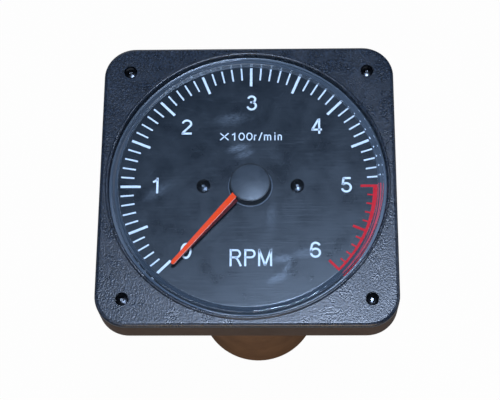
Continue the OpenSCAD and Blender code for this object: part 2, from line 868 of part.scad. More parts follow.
// Thin slice of the needle across its length, from y0 at level z0 to y1 at level z1
module needle_slice(x, y0, z0, y1, z1) {
    slice_t = 0.02;
    translate([x, 0, 0]) rotate([90, 0, 90]) linear_extrude(height = slice_t)
        polygon([[y0, z0], [y1, z1], [y1, z1 - needle_t], [y0, z0 - needle_t]]);
}

module hub_boss() {
    color("#20262b") on_dial_axis() difference() {
        translate([0, 0, boss_z]) cylinder(r1 = boss_r, r2 = boss_r - boss_taper, h = needle_z - boss_z);
        translate([0, 0, boss_z - 1]) cylinder(r = spindle_r + held_gap, h = needle_z - boss_z + 2);
    }
}

// Folded sheet needle: flat face on one side of its axis, folded side on the other
module pointer() {
    fold_x = boss_r + 0.3;
    tip_r = needle_tip_w / 2;
    tip_x = needle_len - tip_r;
    color("orangered") on_dial_axis() translate([0, 0, needle_top]) rotate([0, 0, rest_angle]) {
        difference() {
            translate([0, 0, -needle_t]) cylinder(r = needle_disc_r, h = needle_t);
            translate([0, 0, -1]) cylinder(r = spindle_r + held_gap, h = 2);
        }
        hull() {
            needle_slice(spindle_r + 1, -needle_root_w, 0, 0, 0);
            translate([tip_x, 0, -needle_t]) cylinder(r = tip_r, h = needle_t, $fn = 32);
        }
        hull() {
            needle_slice(fold_x, 0, 0, needle_fold_w, -needle_fold_h + needle_t);
            needle_slice(tip_x, tip_r, 0, tip_r + tip_fold, -tip_fold);
        }
    }
}

module hub_cap() {
    color("#6f7a86") on_dial_axis() translate([0, 0, needle_top]) {
        cylinder(r = cap_r, h = cap_t - cap_chamfer);
        translate([0, 0, cap_t - cap_chamfer])
            cylinder(r1 = cap_r, r2 = cap_r - cap_chamfer, h = cap_chamfer);
    }
}

// Circuit board, standing in the round case

module circuit_board() {
    color("#2f6b45") difference() {
        translate([-board_w / 2, -board_t / 2, board_z]) cube([board_w, board_t, board_len]);
        for (x = [-bracket_x, bracket_x]) translate([x, 0, cover_top + bracket_hole_up]) rotate([90, 0, 0])
            translate([0, 0, -board_t]) cylinder(r = small_screw_r + seat_gap, h = 2 * board_t);
    }
}

module board_brackets() {
    color(steel) for (x = [-bracket_x, bracket_x]) translate([x, board_t / 2, cover_top]) difference() {
        union() {
            translate([-bracket_w / 2, 0, 0]) cube([bracket_w, bracket_t, bracket_h]);
            translate([-bracket_w / 2, 0, 0]) cube([bracket_w, bracket_leg, bracket_t]);
        }
        translate([0, bracket_leg - bracket_hole, -1])
            cylinder(r = small_screw_r + seat_gap, h = bracket_t + 2);
        translate([0, -1, bracket_hole_up]) rotate([-90, 0, 0])
            cylinder(r = small_screw_r + held_gap, h = bracket_t + 2);
    }
}

module bracket_screws() {
    color(steel) for (x = [-bracket_x, bracket_x]) {
        translate([x, bracket_leg - bracket_hole + board_t / 2, cover_top + bracket_t])
            cross_screw(small_head_r, small_head_h, small_screw_r, bracket_t + cover_t - 0.5);
        translate([x, -board_t / 2, cover_top + bracket_hole_up]) rotate([90, 0, 0])
            cross_screw(small_head_r, small_head_h, small_screw_r, board_t + bracket_t + 1);
    }
}

module trimmer() {
    z = board_top - trimmer_drop;
    front_y = -board_t / 2 - trimmer_size[1];
    color("#2f5fa8") difference() {
        translate([-trimmer_size[0] / 2, front_y, z]) cube(trimmer_size);
        translate([0, front_y + trimmer_knob_t, z + trimmer_size[2] / 2])
            rotate([90, 0, 0]) cylinder(r = trimmer_knob_r, h = 2);
    }
}

module capacitor() {
    color("#27354f") translate([capacitor_x, -board_t / 2 - capacitor_r, board_z + capacitor_up])
        cylinder(r = capacitor_r, h = capacitor_len);
}

module converter_chip() {
    color("#1c1d1f") translate([-chip[0] / 2, -board_t / 2 - chip[1], board_z + board_len / 2]) cube(chip);
}

module resistors() {
    color("#c8a878") for (i = [0 : resistor_count - 1])
        translate([resistor_x, -board_t / 2 - resistor_r, board_z + resistor_up + i * resistor_step])
            rotate([0, 90, 0]) cylinder(r = resistor_r, h = resistor_len);
}

module lead_wires() {
    gap_y = board_t / 2 + lead_r;
    post_end = back_z - back_plate_t - post_tail - lead_r;
    post = polar(spring_post_circle, lead_angle, post_end);
    way_up = polar(pillar_circle, lead_angle, 0);
    under_plate = plate_z - bearing_flange_t - lead_r;
    lever_end = polar(bearing_flange_r + lever_w + lever_len - lead_r, lead_angle, under_plate);
    stud_end = cover_top + terminal_nut_t + stud_over;
    terminal = [for (a = terminal_angles)
        [terminal_circle * cos(a), terminal_circle * sin(a), stud_end + lead_r]];
    color("#8e2f2a") {
        lead([[lead_in_x, gap_y, board_top - lead_end], [lead_in_x, gap_y, board_top + lead_rise], post],
            lead_r);
        lead([[lead_out_x, gap_y, board_top - lead_end], [lead_out_x, gap_y, board_top + lead_rise],
            [way_up[0], way_up[1], back_z - back_plate_t - lead_bend],
            [way_up[0], way_up[1], under_plate], lever_end], lead_r);
        lead([terminal[0], [lead_bend, terminal_circle / 2, terminal[0][2] + lead_bend],
            [lead_bend, gap_y, board_z + lead_low]], lead_r);
        for (i = [1, 2]) {
            side = i == 1 ? -1 : 1;
            lead([terminal[i], [terminal[i][0], -gap_y - lead_rise, terminal[i][2] + lead_bend],
                [side * lead_side_x, -gap_y, board_z + lead_low]], lead_r);
        }
    }
}

front_frame();
window();
window_gasket();
frame_screws();
corner_studs();
rear_tray();
rear_can();
case_seal();
end_cover();
cover_screws();
terminal_studs();
terminal_nuts();
terminal_washers();
dial_plate();
scale_marks();
red_zone();
dial_pillars();
dial_screws();
movement_plate();
movement_screws();
movement_pillars();
pillar_screws();
back_plate();
front_bearing();
rear_bearing();
bearing_nut();
yoke_ring();
pole_ring();
magnet();
zero_lever();
rear_spring_post();
stop_post();
front_hairspring();
rear_hairspring();
spindle();
coil_former();
moving_coil();
balance_arm();
balance_weight();
front_collet();
rear_collet();
hub_boss();
pointer();
hub_cap();
circuit_board();
board_brackets();
bracket_screws();
trimmer();
capacitor();
converter_chip();
resistors();
lead_wires();
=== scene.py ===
"""Looks of a panel tachometer: a round dial in a square bezel, with a long round case behind it.

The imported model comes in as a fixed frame. This script gives every node its finish, models the window,
needle, hub, screws and nuts again in finer detail, prints the figures on the dial and sets up the studio.
Lengths are written in millimetres and turned to metres by MM. +Z points out of the dial, +Y is up on it.
"""

import logging
import math
from collections.abc import Callable
from dataclasses import dataclass
from enum import Enum
from functools import cache, partial, reduce

import bpy
from mathutils import Matrix, Vector


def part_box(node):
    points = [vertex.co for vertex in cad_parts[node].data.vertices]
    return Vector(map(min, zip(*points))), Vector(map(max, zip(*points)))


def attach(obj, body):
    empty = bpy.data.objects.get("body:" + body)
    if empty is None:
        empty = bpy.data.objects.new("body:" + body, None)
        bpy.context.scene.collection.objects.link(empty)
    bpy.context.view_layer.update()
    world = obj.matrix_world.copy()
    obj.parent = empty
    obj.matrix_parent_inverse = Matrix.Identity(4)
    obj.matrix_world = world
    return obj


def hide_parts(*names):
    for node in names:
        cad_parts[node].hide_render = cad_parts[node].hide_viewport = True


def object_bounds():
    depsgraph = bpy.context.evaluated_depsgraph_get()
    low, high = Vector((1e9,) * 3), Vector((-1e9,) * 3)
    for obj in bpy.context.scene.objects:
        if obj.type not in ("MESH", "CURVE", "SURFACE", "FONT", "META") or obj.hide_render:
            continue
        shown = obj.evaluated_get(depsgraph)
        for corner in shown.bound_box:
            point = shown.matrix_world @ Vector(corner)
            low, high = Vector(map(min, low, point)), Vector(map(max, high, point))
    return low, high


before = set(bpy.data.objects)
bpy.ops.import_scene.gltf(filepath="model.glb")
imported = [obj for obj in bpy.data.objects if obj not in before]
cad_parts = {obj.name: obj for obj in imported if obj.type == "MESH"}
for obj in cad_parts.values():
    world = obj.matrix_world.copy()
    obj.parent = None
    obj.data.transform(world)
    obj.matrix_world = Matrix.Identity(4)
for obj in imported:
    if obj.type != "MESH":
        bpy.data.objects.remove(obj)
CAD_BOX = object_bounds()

MM = 0.001
CASE = "case"
NEEDLE = "needle"
# Cosines: above them a face or an edge points roughly, or squarely, one way
TOWARDS = 0.9
SQUARELY = 0.97
# Points of a mesh that are closer than this in mm become one
WELD_GAP = 0.001
log = logging.getLogger("tachometer")

Point = tuple[float, float]
Place = tuple[float, float, float]
Profile = list[Point]
Adder = Callable[..., bpy.types.Node]
Source = bpy.types.NodeSocket | bpy.types.Node


def metres(*lengths: float) -> tuple[float, ...]:
    """Turns lengths in mm to metres."""
    return tuple(length * MM for length in lengths)


# Finishes


def linear(hex_code: str) -> tuple[float, float, float, float]:
    """Turns an sRGB hex colour into the linear colour that a shader takes.

    Args:
        hex_code: a colour such as "#2a3440".

    Returns:
        Linear red, green and blue with an alpha of 1.
    """
    digits = hex_code.lstrip("#")
    parts = [int(digits[i : i + 2], 16) / 255 for i in (0, 2, 4)]
    return (*[p / 12.92 if p <= 0.04045 else ((p + 0.055) / 1.055) ** 2.4 for p in parts], 1.0)


def add_node(tree: bpy.types.NodeTree, kind: str, inputs: dict | None = None, **settings) -> bpy.types.Node:
    """Adds one shader node with its settings, values and links.

    Args:
        tree: the node tree to add to.
        kind: the node's type after its first word, such as "TexNoise" for ShaderNodeTexNoise.
        inputs: input name or number to a value, to a socket that is linked, or to a node whose first
            output is linked.
        settings: properties of the node.

    Returns:
        The new node.
    """
    made = tree.nodes.new(f"ShaderNode{kind}")
    for key, value in settings.items():
        setattr(made, key, value)
    for key, value in (inputs or {}).items():
        if isinstance(value, bpy.types.Node):
            value = value.outputs[0]
        if isinstance(value, bpy.types.NodeSocket):
            tree.links.new(value, made.inputs[key])
        else:
            made.inputs[key].default_value = value
    return made


def empty_nodes(owner: bpy.types.Material | bpy.types.World) -> Adder:
    """Clears the nodes of a material or a world.

    Args:
        owner: what the nodes belong to.

    Returns:
        add_node, tied to the empty node tree.
    """
    owner.use_nodes = True
    owner.node_tree.nodes.clear()
    return partial(add_node, owner.node_tree)


class Relief(Enum):
    """How a surface was made, which decides the pattern of its fine relief."""

    SPARK_ERODED = "spark eroded mould"
    SMOOTH_MOULD = "polished mould"
    SPRAYED = "sprayed, printed or fine-skinned"
    BRUSHED = "brushed or rolled up and down"
    BRUSHED_ACROSS = "brushed from side to side"
    TURNED = "turned on a lathe"
    THREADED = "cut thread"
    WOUND = "wound wire"


# How a pattern's scale changes along each axis, so that its grains run together into lines
STRETCHES: dict[Relief, Place] = {
    Relief.BRUSHED: (1.0, 0.03, 1.0),
    Relief.BRUSHED_ACROSS: (0.03, 1.0, 1.0),
    Relief.WOUND: (0.05, 0.05, 1.0),
}


@dataclass(frozen=True)
class Finish:
    """A surface finish: colour with soft patches, roughness that varies, and a fine relief."""

    name: str
    colour: str
    patch_colour: str
    relief: Relief
    roughness: float
    metallic: float = 0.0
    ior: float = 1.5
    patch_mm: float = 9.0
    grain_mm: float = 0.5
    relief_mm: float = 0.01
    roughness_spread: float = 0.06
    grain_in_colour: float = 0.3
    coat: float = 0.0
    colour_span: Point = (0.35, 0.65)
    shine_span: Point = (0.3, 0.7)
    pebble_share: float = 0.5
    pebble_scale: float = 1.7
    pebble_detail: float = 3.0
    grain_detail: float = 5.0
    patch_detail: float = 4.0
    patch_roughness: float = 0.6

    def build(self) -> bpy.types.Material:
        """Makes the material.

        Returns:
            A material that reads only Object coordinates.
        """
        material = bpy.data.materials.new(self.name)
        add = empty_nodes(material)
        place = add("TexCoord").outputs["Object"]
        soft = {"Detail": self.patch_detail, "Roughness": self.patch_roughness}
        patches = add("TexNoise", {"Vector": place, "Scale": 1 / (self.patch_mm * MM), **soft})
        height = self._height(add, place)
        # A Mix node's inputs go by number: 0 is the share, 2 and 3 are numbers, and 6 and 7 are colours
        mixed = add("Mix", {0: self.grain_in_colour, 2: patches, 3: height}, data_type="FLOAT")
        low, high = self.colour_span
        share = add("MapRange", {"Value": mixed, "From Min": low, "From Max": high})
        hues = {0: share, 6: linear(self.colour), 7: linear(self.patch_colour)}
        colour = add("Mix", hues, data_type="RGBA").outputs[2]
        low, high = self.shine_span
        spread = self.roughness_spread
        limits = {"To Min": self.roughness - spread, "To Max": self.roughness + spread}
        rough = add("MapRange", {"Value": patches, "From Min": low, "From Max": high, **limits})
        bump = add("Bump", {"Height": height, "Distance": self.relief_mm * MM, "Strength": 1.0})
        looks = {"Base Color": colour, "Roughness": rough, "Metallic": self.metallic, "Normal": bump}
        shader = add("BsdfPrincipled", {**looks, "Coat Weight": self.coat})
        if not self.metallic:
            shader.inputs["IOR"].default_value = self.ior
        add("OutputMaterial", {"Surface": shader})
        return material

    def _height(self, add: Adder, place: Source) -> Source:
        """Adds the nodes for the relief pattern.

        Args:
            add: adds a node to the material.
            place: Object coordinates.

        Returns:
            The height, from 0 to 1.
        """
        scale = 1 / (self.grain_mm * MM)
        if self.relief is Relief.SPARK_ERODED:
            cells = add("TexVoronoi", {"Vector": place, "Scale": scale}, feature="SMOOTH_F1")
            finer = {"Scale": scale * self.pebble_scale, "Detail": self.pebble_detail}
            fine = add("TexNoise", {"Vector": place, **finer})
            return add("Mix", {0: self.pebble_share, 2: cells, 3: fine}, data_type="FLOAT")
        if self.relief in (Relief.TURNED, Relief.THREADED):
            rings = self.relief is Relief.TURNED
            # At scale 1 the waves lie pi / 10 apart
            return add(
                "TexWave", {"Vector": place, "Scale": math.pi / 10 * scale}, rings_direction="Z",
                bands_direction="Z", wave_type="RINGS" if rings else "BANDS",
                wave_profile="SIN" if rings else "TRI",
            ).outputs["Fac"]
        if self.relief in STRETCHES:
            place = add("Mapping", {"Vector": place, "Scale": STRETCHES[self.relief]})
        return add("TexNoise", {"Vector": place, "Scale": scale, "Detail": self.grain_detail})


@dataclass(frozen=True)
class Streaks:
    """Fine lines: their width, how far they are drawn out, their detail and the noise values they take."""

    width_mm: float
    stretch: float
    detail: float
    span: Point

    def draw(self, add: Adder, place: Source) -> Source:
        """Adds the nodes for lines along x.

        Args:
            add: adds a node to the material.
            place: coordinates in metres.

        Returns:
            1 on the lines and 0 between them.
        """
        drawn = add("Mapping", {"Vector": place, "Scale": (self.stretch, 1, self.stretch)})
        noise = add("TexNoise", {"Vector": drawn, "Scale": 1 / (self.width_mm * MM), "Detail": self.detail})
        return add("MapRange", {"Value": noise, "From Min": self.span[0], "From Max": self.span[1]})


@dataclass(frozen=True)
class ClearAcrylic:
    """Injection moulded acrylic: clear, with hairline wiping scratches and a few pale scuffs.

    The wall is a little milky, because its mould is drafted and not polished. Each scuff has its middle,
    its reach in mm, the direction of its streaks in degrees and how white it is in the middle.
    """

    haze_radius: float
    haze_top: float
    name: str = "moulded_clear_acrylic"
    tint: str = "#f6fafd"
    ior: float = 1.49
    roughness: float = 0.02
    scratch_colour: str = "#a9b8c8"
    scratches: Streaks = Streaks(0.2, 0.025, 1.0, (0.7, 0.8))
    scratch_angles: tuple[float, ...] = (4.0, -9.0, 52.0)
    scratch_share: float = 0.05
    scuff_streaks: Streaks = Streaks(0.22, 0.16, 3.0, (0.42, 0.62))
    scuff_shape: Place = (0.5, 1.3, 0.0)
    scuffs: tuple[tuple[float, float, float, float, float], ...] = (
        (13.0, -30.3, 3.2, 8.0, 0.26),
        (14.6, -33.4, 2.2, 64.0, 0.22),
        (11.5, -37.5, 3.4, 24.0, 0.24),
        (21.0, -28.2, 4.2, 6.0, 0.14),
        (-3.5, 13.0, 3.2, 14.0, 0.2),
        (-1.0, 10.6, 3.0, 22.0, 0.14),
        (-6.0, 25.0, 5.0, 8.0, 0.1),
        (-33.0, -4.0, 4.5, 34.0, 0.1),
        (9.0, -14.0, 4.0, 86.0, 0.08),
    )
    haze_colour: str = "#93a5b8"
    haze_share: float = 0.13

    def build(self) -> bpy.types.Material:
        """Makes the material.

        Returns:
            A material that lets the light on its way to the dial pass straight through.
        """
        material = bpy.data.materials.new(self.name)
        add = empty_nodes(material)
        place = add("TexCoord").outputs["Object"]
        ways = [(0, 0, math.radians(-angle)) for angle in self.scratch_angles]
        turned = [add("Mapping", {"Vector": place, "Rotation": way}) for way in ways]
        hairlines = [self.scratches.draw(add, at) for at in turned]
        pale = add("Math", {0: self._highest(add, hairlines), 1: self.scratch_share}, operation="MULTIPLY")
        pale_mark = self._highest(add, [pale, *[self._scuff(add, place, *scuff) for scuff in self.scuffs]])
        glass = {"Base Color": linear(self.tint), "Roughness": self.roughness, "IOR": self.ior}
        clear = add("BsdfPrincipled", {**glass, "Transmission Weight": 1.0})
        chalky = add("BsdfDiffuse", {"Color": linear(self.scratch_colour)})
        scratched = add("MixShader", {0: pale_mark, 1: clear, 2: chalky})
        haze = add("BsdfDiffuse", {"Color": linear(self.haze_colour)})
        surface = add("MixShader", {0: self._wall_haze(add, place), 1: scratched, 2: haze})
        passing = add("BsdfTransparent", {"Color": linear(self.tint)})
        seen = add("MixShader", {0: self._let_through(add), 1: surface, 2: passing})
        add("OutputMaterial", {"Surface": seen})
        return material

    def _let_through(self, add: Adder) -> Source:
        """Tells which rays pass unbent: those that carry light, and mirrored ones that come from the air.

        A mirrored ray inside the plastic is bent as usual, or it would show a ghost of the lamps.

        Args:
            add: adds a node to the material.

        Returns:
            1 for these rays and 0 for the rest.
        """
        rays = add("LightPath").outputs
        kinds = {0: rays["Is Glossy Ray"], 1: rays["Is Transmission Ray"]}
        mirrored = add("Math", kinds, operation="SUBTRACT")
        inside = add("NewGeometry").outputs["Backfacing"]
        outside = add("Math", {0: 1.0, 1: inside}, operation="SUBTRACT")
        from_air = self._highest(add, [outside, rays["Transparent Depth"]])
        crossing = add("Math", {0: mirrored, 1: from_air}, operation="MULTIPLY", use_clamp=True)
        return self._highest(add, [rays["Is Shadow Ray"], rays["Is Diffuse Ray"], crossing])

    @staticmethod
    def _highest(add: Adder, values: list[Source]) -> Source:
        """Adds the nodes for the highest of several values."""
        return reduce(lambda one, other: add("Math", {0: one, 1: other}, operation="MAXIMUM"), values)

    @staticmethod
    def _distance(add: Adder, place: Source, shares: Place) -> Source:
        """Adds the nodes for the distance from the origin in metres, with a share for each axis."""
        weighed = add("VectorMath", {0: place, 1: shares}, operation="MULTIPLY")
        return add("VectorMath", {0: weighed}, operation="LENGTH").outputs["Value"]

    def _wall_haze(self, add: Adder, place: Source) -> Source:
        """Adds the nodes for the milky wall.

        Args:
            add: adds a node to the material.
            place: Object coordinates.

        Returns:
            The haze's share below the disc and outside the wall's inner radius, else 0.
        """
        away = self._distance(add, place, (1.0, 1.0, 0.0))
        height = add("SeparateXYZ", {0: place}).outputs["Z"]
        outside = add("Math", {0: away, 1: self.haze_radius * MM}, operation="GREATER_THAN")
        below = add("Math", {0: height, 1: self.haze_top * MM}, operation="LESS_THAN")
        both = add("Math", {0: outside, 1: below}, operation="MULTIPLY")
        return add("Math", {0: both, 1: self.haze_share}, operation="MULTIPLY")

    def _scuff(
        self, add: Adder, place: Source, x: float, y: float, reach: float, angle: float, share: float
    ) -> Source:
        """Adds the nodes for one pale scuff: short streaks that fade out from a point.

        Args:
            add: adds a node to the material.
            place: Object coordinates.
            x: its middle in mm.
            y: its middle in mm.
            reach: how far it spreads in mm.
            angle: direction of its streaks in degrees.
            share: how white it is in the middle.

        Returns:
            How white it is at each point.
        """
        moved = add("VectorMath", {0: place, 1: metres(x, y, 0)}, operation="SUBTRACT")
        turned = add("Mapping", {"Vector": moved, "Rotation": (0, 0, math.radians(-angle))})
        fading = {"From Min": 0.0, "From Max": reach * MM, "To Min": share, "To Max": 0.0}
        near = add(
            "MapRange", {"Value": self._distance(add, turned, self.scuff_shape), **fading},
            interpolation_type="SMOOTHERSTEP",
        )
        return add("Math", {0: near, 1: self.scuff_streaks.draw(add, turned)}, operation="MULTIPLY")


# Black phenolic from a spark-eroded mould: a close pebbled grain that breaks up the shine
FRAME_PLASTIC = Finish(
    "spark_eroded_black_phenolic", "#05090e", "#263140", Relief.SPARK_ERODED, 0.29, grain_mm=0.6,
    relief_mm=0.12, grain_in_colour=0.95,
)
# Brown phenolic from a plain mould: a dull brown skin with darker flow patches
CASE_PLASTIC = Finish(
    "moulded_brown_phenolic", "#684a2e", "#543a22", Relief.SMOOTH_MOULD, 0.55, patch_mm=14,
    grain_mm=1.2, relief_mm=0.02,
)
# The case's brown phenolic on the tray, painted darker: painted shade on the band under the frame
TRAY_PLASTIC_SHADE = Finish(
    "brown_phenolic_painted_shade", "#38240f", "#2c1b0b", Relief.SMOOTH_MOULD, 0.55, patch_mm=14,
    grain_mm=1.2, relief_mm=0.02,
)
# Moulded black phenolic: flat and dull, so that the brass on it stands out
COVER_PLASTIC = Finish("moulded_black_phenolic", "#1a1c1f", "#232629", Relief.SPRAYED, 0.5, grain_mm=0.4)
# Nitrile rubber, moulded: nearly black with no shine
RUBBER = Finish("moulded_nitrile_rubber", "#101113", "#191a1c", Relief.SPRAYED, 0.8, grain_mm=0.3)
# Brushed aluminium sheet under thin matt blue-black paint: the brush lines show through as faint streaks
DIAL_PAINT = Finish(
    "matt_blue_black_dial_paint", "#0a131b", "#0f1922", Relief.BRUSHED_ACROSS, 0.31, patch_mm=10,
    grain_mm=0.35, relief_mm=0.02,
)
# Screen-printed white ink: flat and bright, faintly uneven where it is thin
WHITE_INK = Finish(
    "screen_printed_white_ink", "#eef3f7", "#dfe7ee", Relief.SPRAYED, 0.5, patch_mm=2.5, grain_mm=0.2,
    relief_mm=0.004,
)
# Screen-printed crimson ink: a strong dry red, a shade deeper where it is thin
RED_INK = Finish(
    "screen_printed_crimson_ink", "#e00820", "#cf061b", Relief.SPRAYED, 0.8, patch_mm=2.5,
    grain_mm=0.2, relief_mm=0.004,
)
# Fluorescent orange enamel on the needle's flat face: glossy and vivid, the brightest colour on the dial
NEEDLE_ENAMEL = Finish(
    "fluorescent_orange_enamel", "#ff4808", "#f84206", Relief.SPRAYED, 0.22, patch_mm=6, grain_mm=0.3,
    relief_mm=0.004,
)
# The needle's enamel on the folded side, painted a deep dark red: painted shade where the side faces away
# from the light
NEEDLE_SIDE_SHADE = Finish(
    "red_enamel_painted_shade", "#6a1414", "#4c1014", Relief.SPRAYED, 0.45, patch_mm=4, grain_mm=0.3, relief_mm=0.004
)
# Painted highlight on the fold's rounded edge: a pale hairline of light along the needle
NEEDLE_FOLD_HIGHLIGHT = Finish(
    "painted_highlight_at_fold", "#f8c0b0", "#f08068", Relief.SPRAYED, 0.35, patch_mm=3, grain_mm=0.2,
    relief_mm=0.004,
)
# Grey enamel on the pressed hub cap: satin, so that it shades softly from edge to edge
CAP_ENAMEL = Finish(
    "satin_grey_enamel", "#2a3036", "#333940", Relief.SPRAYED, 0.4, patch_mm=3, grain_mm=0.35,
    relief_mm=0.02,
)
# Painted highlight on the boss's foot: the nylon painted paler in a thin ring where light catches it
BOSS_FOOT_HIGHLIGHT = Finish("painted_highlight_boss_foot", "#59616b", "#656d77", Relief.SPRAYED, 0.35, patch_mm=3, grain_mm=0.3)
# Painted shade round the cap's edge and under it: near-black that draws the cap's dark outline against the
# dial
CAP_EDGE_SHADE = Finish("painted_shade_cap_edge", "#08090b", "#0d0f11", Relief.SPRAYED, 0.5, patch_mm=3, grain_mm=0.4)
# Black moulded nylon under the cap: darker and duller than the cap
BOSS_NYLON = Finish("moulded_black_nylon", "#1a2128", "#20272e", Relief.SMOOTH_MOULD, 0.5, grain_mm=0.8)
# Steel screws with a black oxide coat: nearly black, with one small sharp glint on the dome
BLACK_OXIDE = Finish(
    "black_oxide_steel", "#323438", "#27292c", Relief.SPRAYED, 0.2, metallic=1.0, patch_mm=1.5,
    grain_mm=0.25, relief_mm=0.006,
)
# The same steel where a driver has rubbed the coat off: small hard glints in the cross
RUBBED_STEEL = Finish(
    "driver_rubbed_steel", "#b4b8bd", "#7d8186", Relief.SPRAYED, 0.25, metallic=1.0, patch_mm=0.8,
    grain_mm=0.2, relief_mm=0.006,
)
# Turned and nickel-plated steel: bright, with fine rings that stretch each glint
BRIGHT_STEEL = Finish(
    "turned_nickel_plated_steel", "#b9bcc0", "#a5a9ad", Relief.TURNED, 0.28, metallic=1.0,
    grain_mm=0.2, relief_mm=0.003,
)
# Zinc-plated steel with a cut thread: even ridges along the stud
THREADED_STEEL = Finish(
    "thread_cut_zinc_plated_steel", "#aeb2b6", "#999da1", Relief.THREADED, 0.32, metallic=1.0,
    grain_mm=0.7, relief_mm=0.35,
)
# Brass with a cut thread: warm ridges, each with its own thin glint
THREADED_BRASS = Finish(
    "thread_cut_brass", "#c9a860", "#b39350", Relief.THREADED, 0.3, metallic=1.0, grain_mm=0.7,
    relief_mm=0.35,
)
# Brass turned on a lathe: warm, with fine rings
TURNED_BRASS = Finish(
    "turned_brass", "#c7a55c", "#b08e4a", Relief.TURNED, 0.3, metallic=1.0, grain_mm=0.25, relief_mm=0.004
)
# Zinc-plated steel plate: dull grey with rolling lines
ZINC_PLATE = Finish(
    "rolled_zinc_plated_steel", "#9a9ea3", "#888c91", Relief.BRUSHED, 0.42, metallic=1.0, grain_mm=0.3,
    relief_mm=0.006,
)
# Soft iron, ground: dark grey and dull
GROUND_IRON = Finish(
    "ground_soft_iron", "#66696d", "#54575b", Relief.BRUSHED, 0.5, metallic=1.0, grain_mm=0.25
)
# Cast magnet alloy: dark and coarse
CAST_ALLOY = Finish(
    "cast_magnet_alloy", "#3b3d41", "#2e3034", Relief.SPARK_ERODED, 0.6, metallic=0.8, grain_mm=0.9,
    relief_mm=0.05,
)
# Aluminium sheet as rolled: pale, with long soft streaks
ROLLED_ALUMINIUM = Finish(
    "rolled_aluminium", "#c4c7ca", "#b2b6ba", Relief.BRUSHED, 0.35, metallic=1.0, grain_mm=0.2,
    relief_mm=0.004,
)
# Phosphor bronze strip: bright and warm
SPRING_BRONZE = Finish(
    "rolled_phosphor_bronze", "#d1a873", "#bd9560", Relief.BRUSHED, 0.28, metallic=1.0, grain_mm=0.1,
    relief_mm=0.002,
)
# Varnished copper wire, wound in layers: glossy red-brown with the turns showing
COPPER_WINDING = Finish(
    "varnished_copper_winding", "#8f3f1d", "#7a3217", Relief.WOUND, 0.25, metallic=0.4, grain_mm=0.12,
    relief_mm=0.03, coat=0.6,
)
# Glass-epoxy laminate under solder mask: an even green with a soft shine
SOLDER_MASK = Finish("green_solder_mask", "#1f5a35", "#194a2c", Relief.SPRAYED, 0.35, patch_mm=6)
# Moulded blue polyester of the trimmer: smooth and clear blue, so that it is found at once
TRIMMER_PLASTIC = Finish("moulded_blue_polyester", "#275a9c", "#214d88", Relief.SMOOTH_MOULD, 0.35)
# Shrink sleeve of the capacitor: a dark, glossy film
SHRINK_SLEEVE = Finish("dark_blue_shrink_sleeve", "#1c2a4a", "#16213c", Relief.SPRAYED, 0.25)
# Moulded epoxy of the chip: black with a dry, sandy face
CHIP_EPOXY = Finish("moulded_black_epoxy", "#17181a", "#1f2022", Relief.SPARK_ERODED, 0.6, grain_mm=0.3)
# Lacquered resistor bodies: tan with a wet shine
RESISTOR_LACQUER = Finish("tan_resistor_lacquer", "#c19a67", "#b28b5a", Relief.SMOOTH_MOULD, 0.3)
# PVC insulation of the leads: dull red with a soft sheen
LEAD_PVC = Finish("extruded_red_pvc", "#8e2620", "#7c1f1b", Relief.SMOOTH_MOULD, 0.4)

NODES_IN_FINISH: dict[Finish, tuple[str, ...]] = {
    FRAME_PLASTIC: ("front_frame",),
    TRAY_PLASTIC_SHADE: ("rear_tray",),
    CASE_PLASTIC: ("rear_can",),
    COVER_PLASTIC: ("end_cover",),
    RUBBER: ("window_gasket", "case_seal"),
    DIAL_PAINT: ("dial_plate",),
    WHITE_INK: ("scale_marks",),
    RED_INK: ("red_zone",),
    THREADED_STEEL: ("corner_studs",),
    THREADED_BRASS: ("terminal_studs",),
    BRIGHT_STEEL: (
        "terminal_washers", "movement_screws", "pillar_screws", "stop_post", "spindle", "bracket_screws",
    ),
    TURNED_BRASS: (
        "dial_pillars", "movement_pillars", "rear_bearing", "bearing_nut", "rear_spring_post",
        "balance_weight", "front_collet", "rear_collet",
    ),
    ZINC_PLATE: ("movement_plate", "back_plate", "board_brackets"),
    SPRING_BRONZE: ("front_bearing", "zero_lever", "front_hairspring", "rear_hairspring"),
    GROUND_IRON: ("yoke_ring", "pole_ring"),
    CAST_ALLOY: ("magnet",),
    ROLLED_ALUMINIUM: ("coil_former", "balance_arm"),
    COPPER_WINDING: ("moving_coil",),
    SOLDER_MASK: ("circuit_board",),
    TRIMMER_PLASTIC: ("trimmer",),
    SHRINK_SLEEVE: ("capacitor",),
    CHIP_EPOXY: ("converter_chip",),
    RESISTOR_LACQUER: ("resistors",),
    LEAD_PVC: ("lead_wires",),
}


@cache
def material_of(finish: Finish | ClearAcrylic) -> bpy.types.Material:
    """Builds a finish's material the first time that it is asked for."""
    return finish.build()


def dress(piece: bpy.types.Object, *finishes: Finish | ClearAcrylic) -> None:
    """Puts finishes into a piece's material slots.

    Args:
        piece: the piece.
        finishes: its finishes, in order.
    """
    piece.data.materials.clear()
    for finish in finishes:
        piece.data.materials.append(material_of(finish))


# Modelling by hand


def turned_at(x: float, y: float, z: float = 0.0, turn: float = 0.0) -> Matrix:
    """The matrix that turns a piece about the z axis by degrees, and then moves it to a place in mm."""
    return Matrix.Translation(metres(x, y, z)) @ Matrix.Rotation(math.radians(turn), 4, "Z")


def start_fresh() -> None:
    """Leaves edit mode and deselects everything."""
    if bpy.context.object and bpy.context.object.mode != "OBJECT":
        bpy.ops.object.mode_set(mode="OBJECT")
    bpy.ops.object.select_all(action="DESELECT")


def pick(piece: bpy.types.Object) -> None:
    """Makes one object the selected and active one.

    Args:
        piece: the object.
    """
    start_fresh()
    piece.select_set(True)
    bpy.context.view_layer.objects.active = piece


def apply_modifier(piece: bpy.types.Object, kind: str, **settings) -> None:
    """Adds a modifier and applies it.

    Args:
        piece: the object.
        kind: the modifier's type, such as "BOOLEAN".
        settings: its properties.
    """
    pick(piece)
    modifier = piece.modifiers.new(kind.title(), kind)
    for key, value in settings.items():
        setattr(modifier, key, value)
    bpy.ops.object.modifier_apply(modifier=modifier.name)


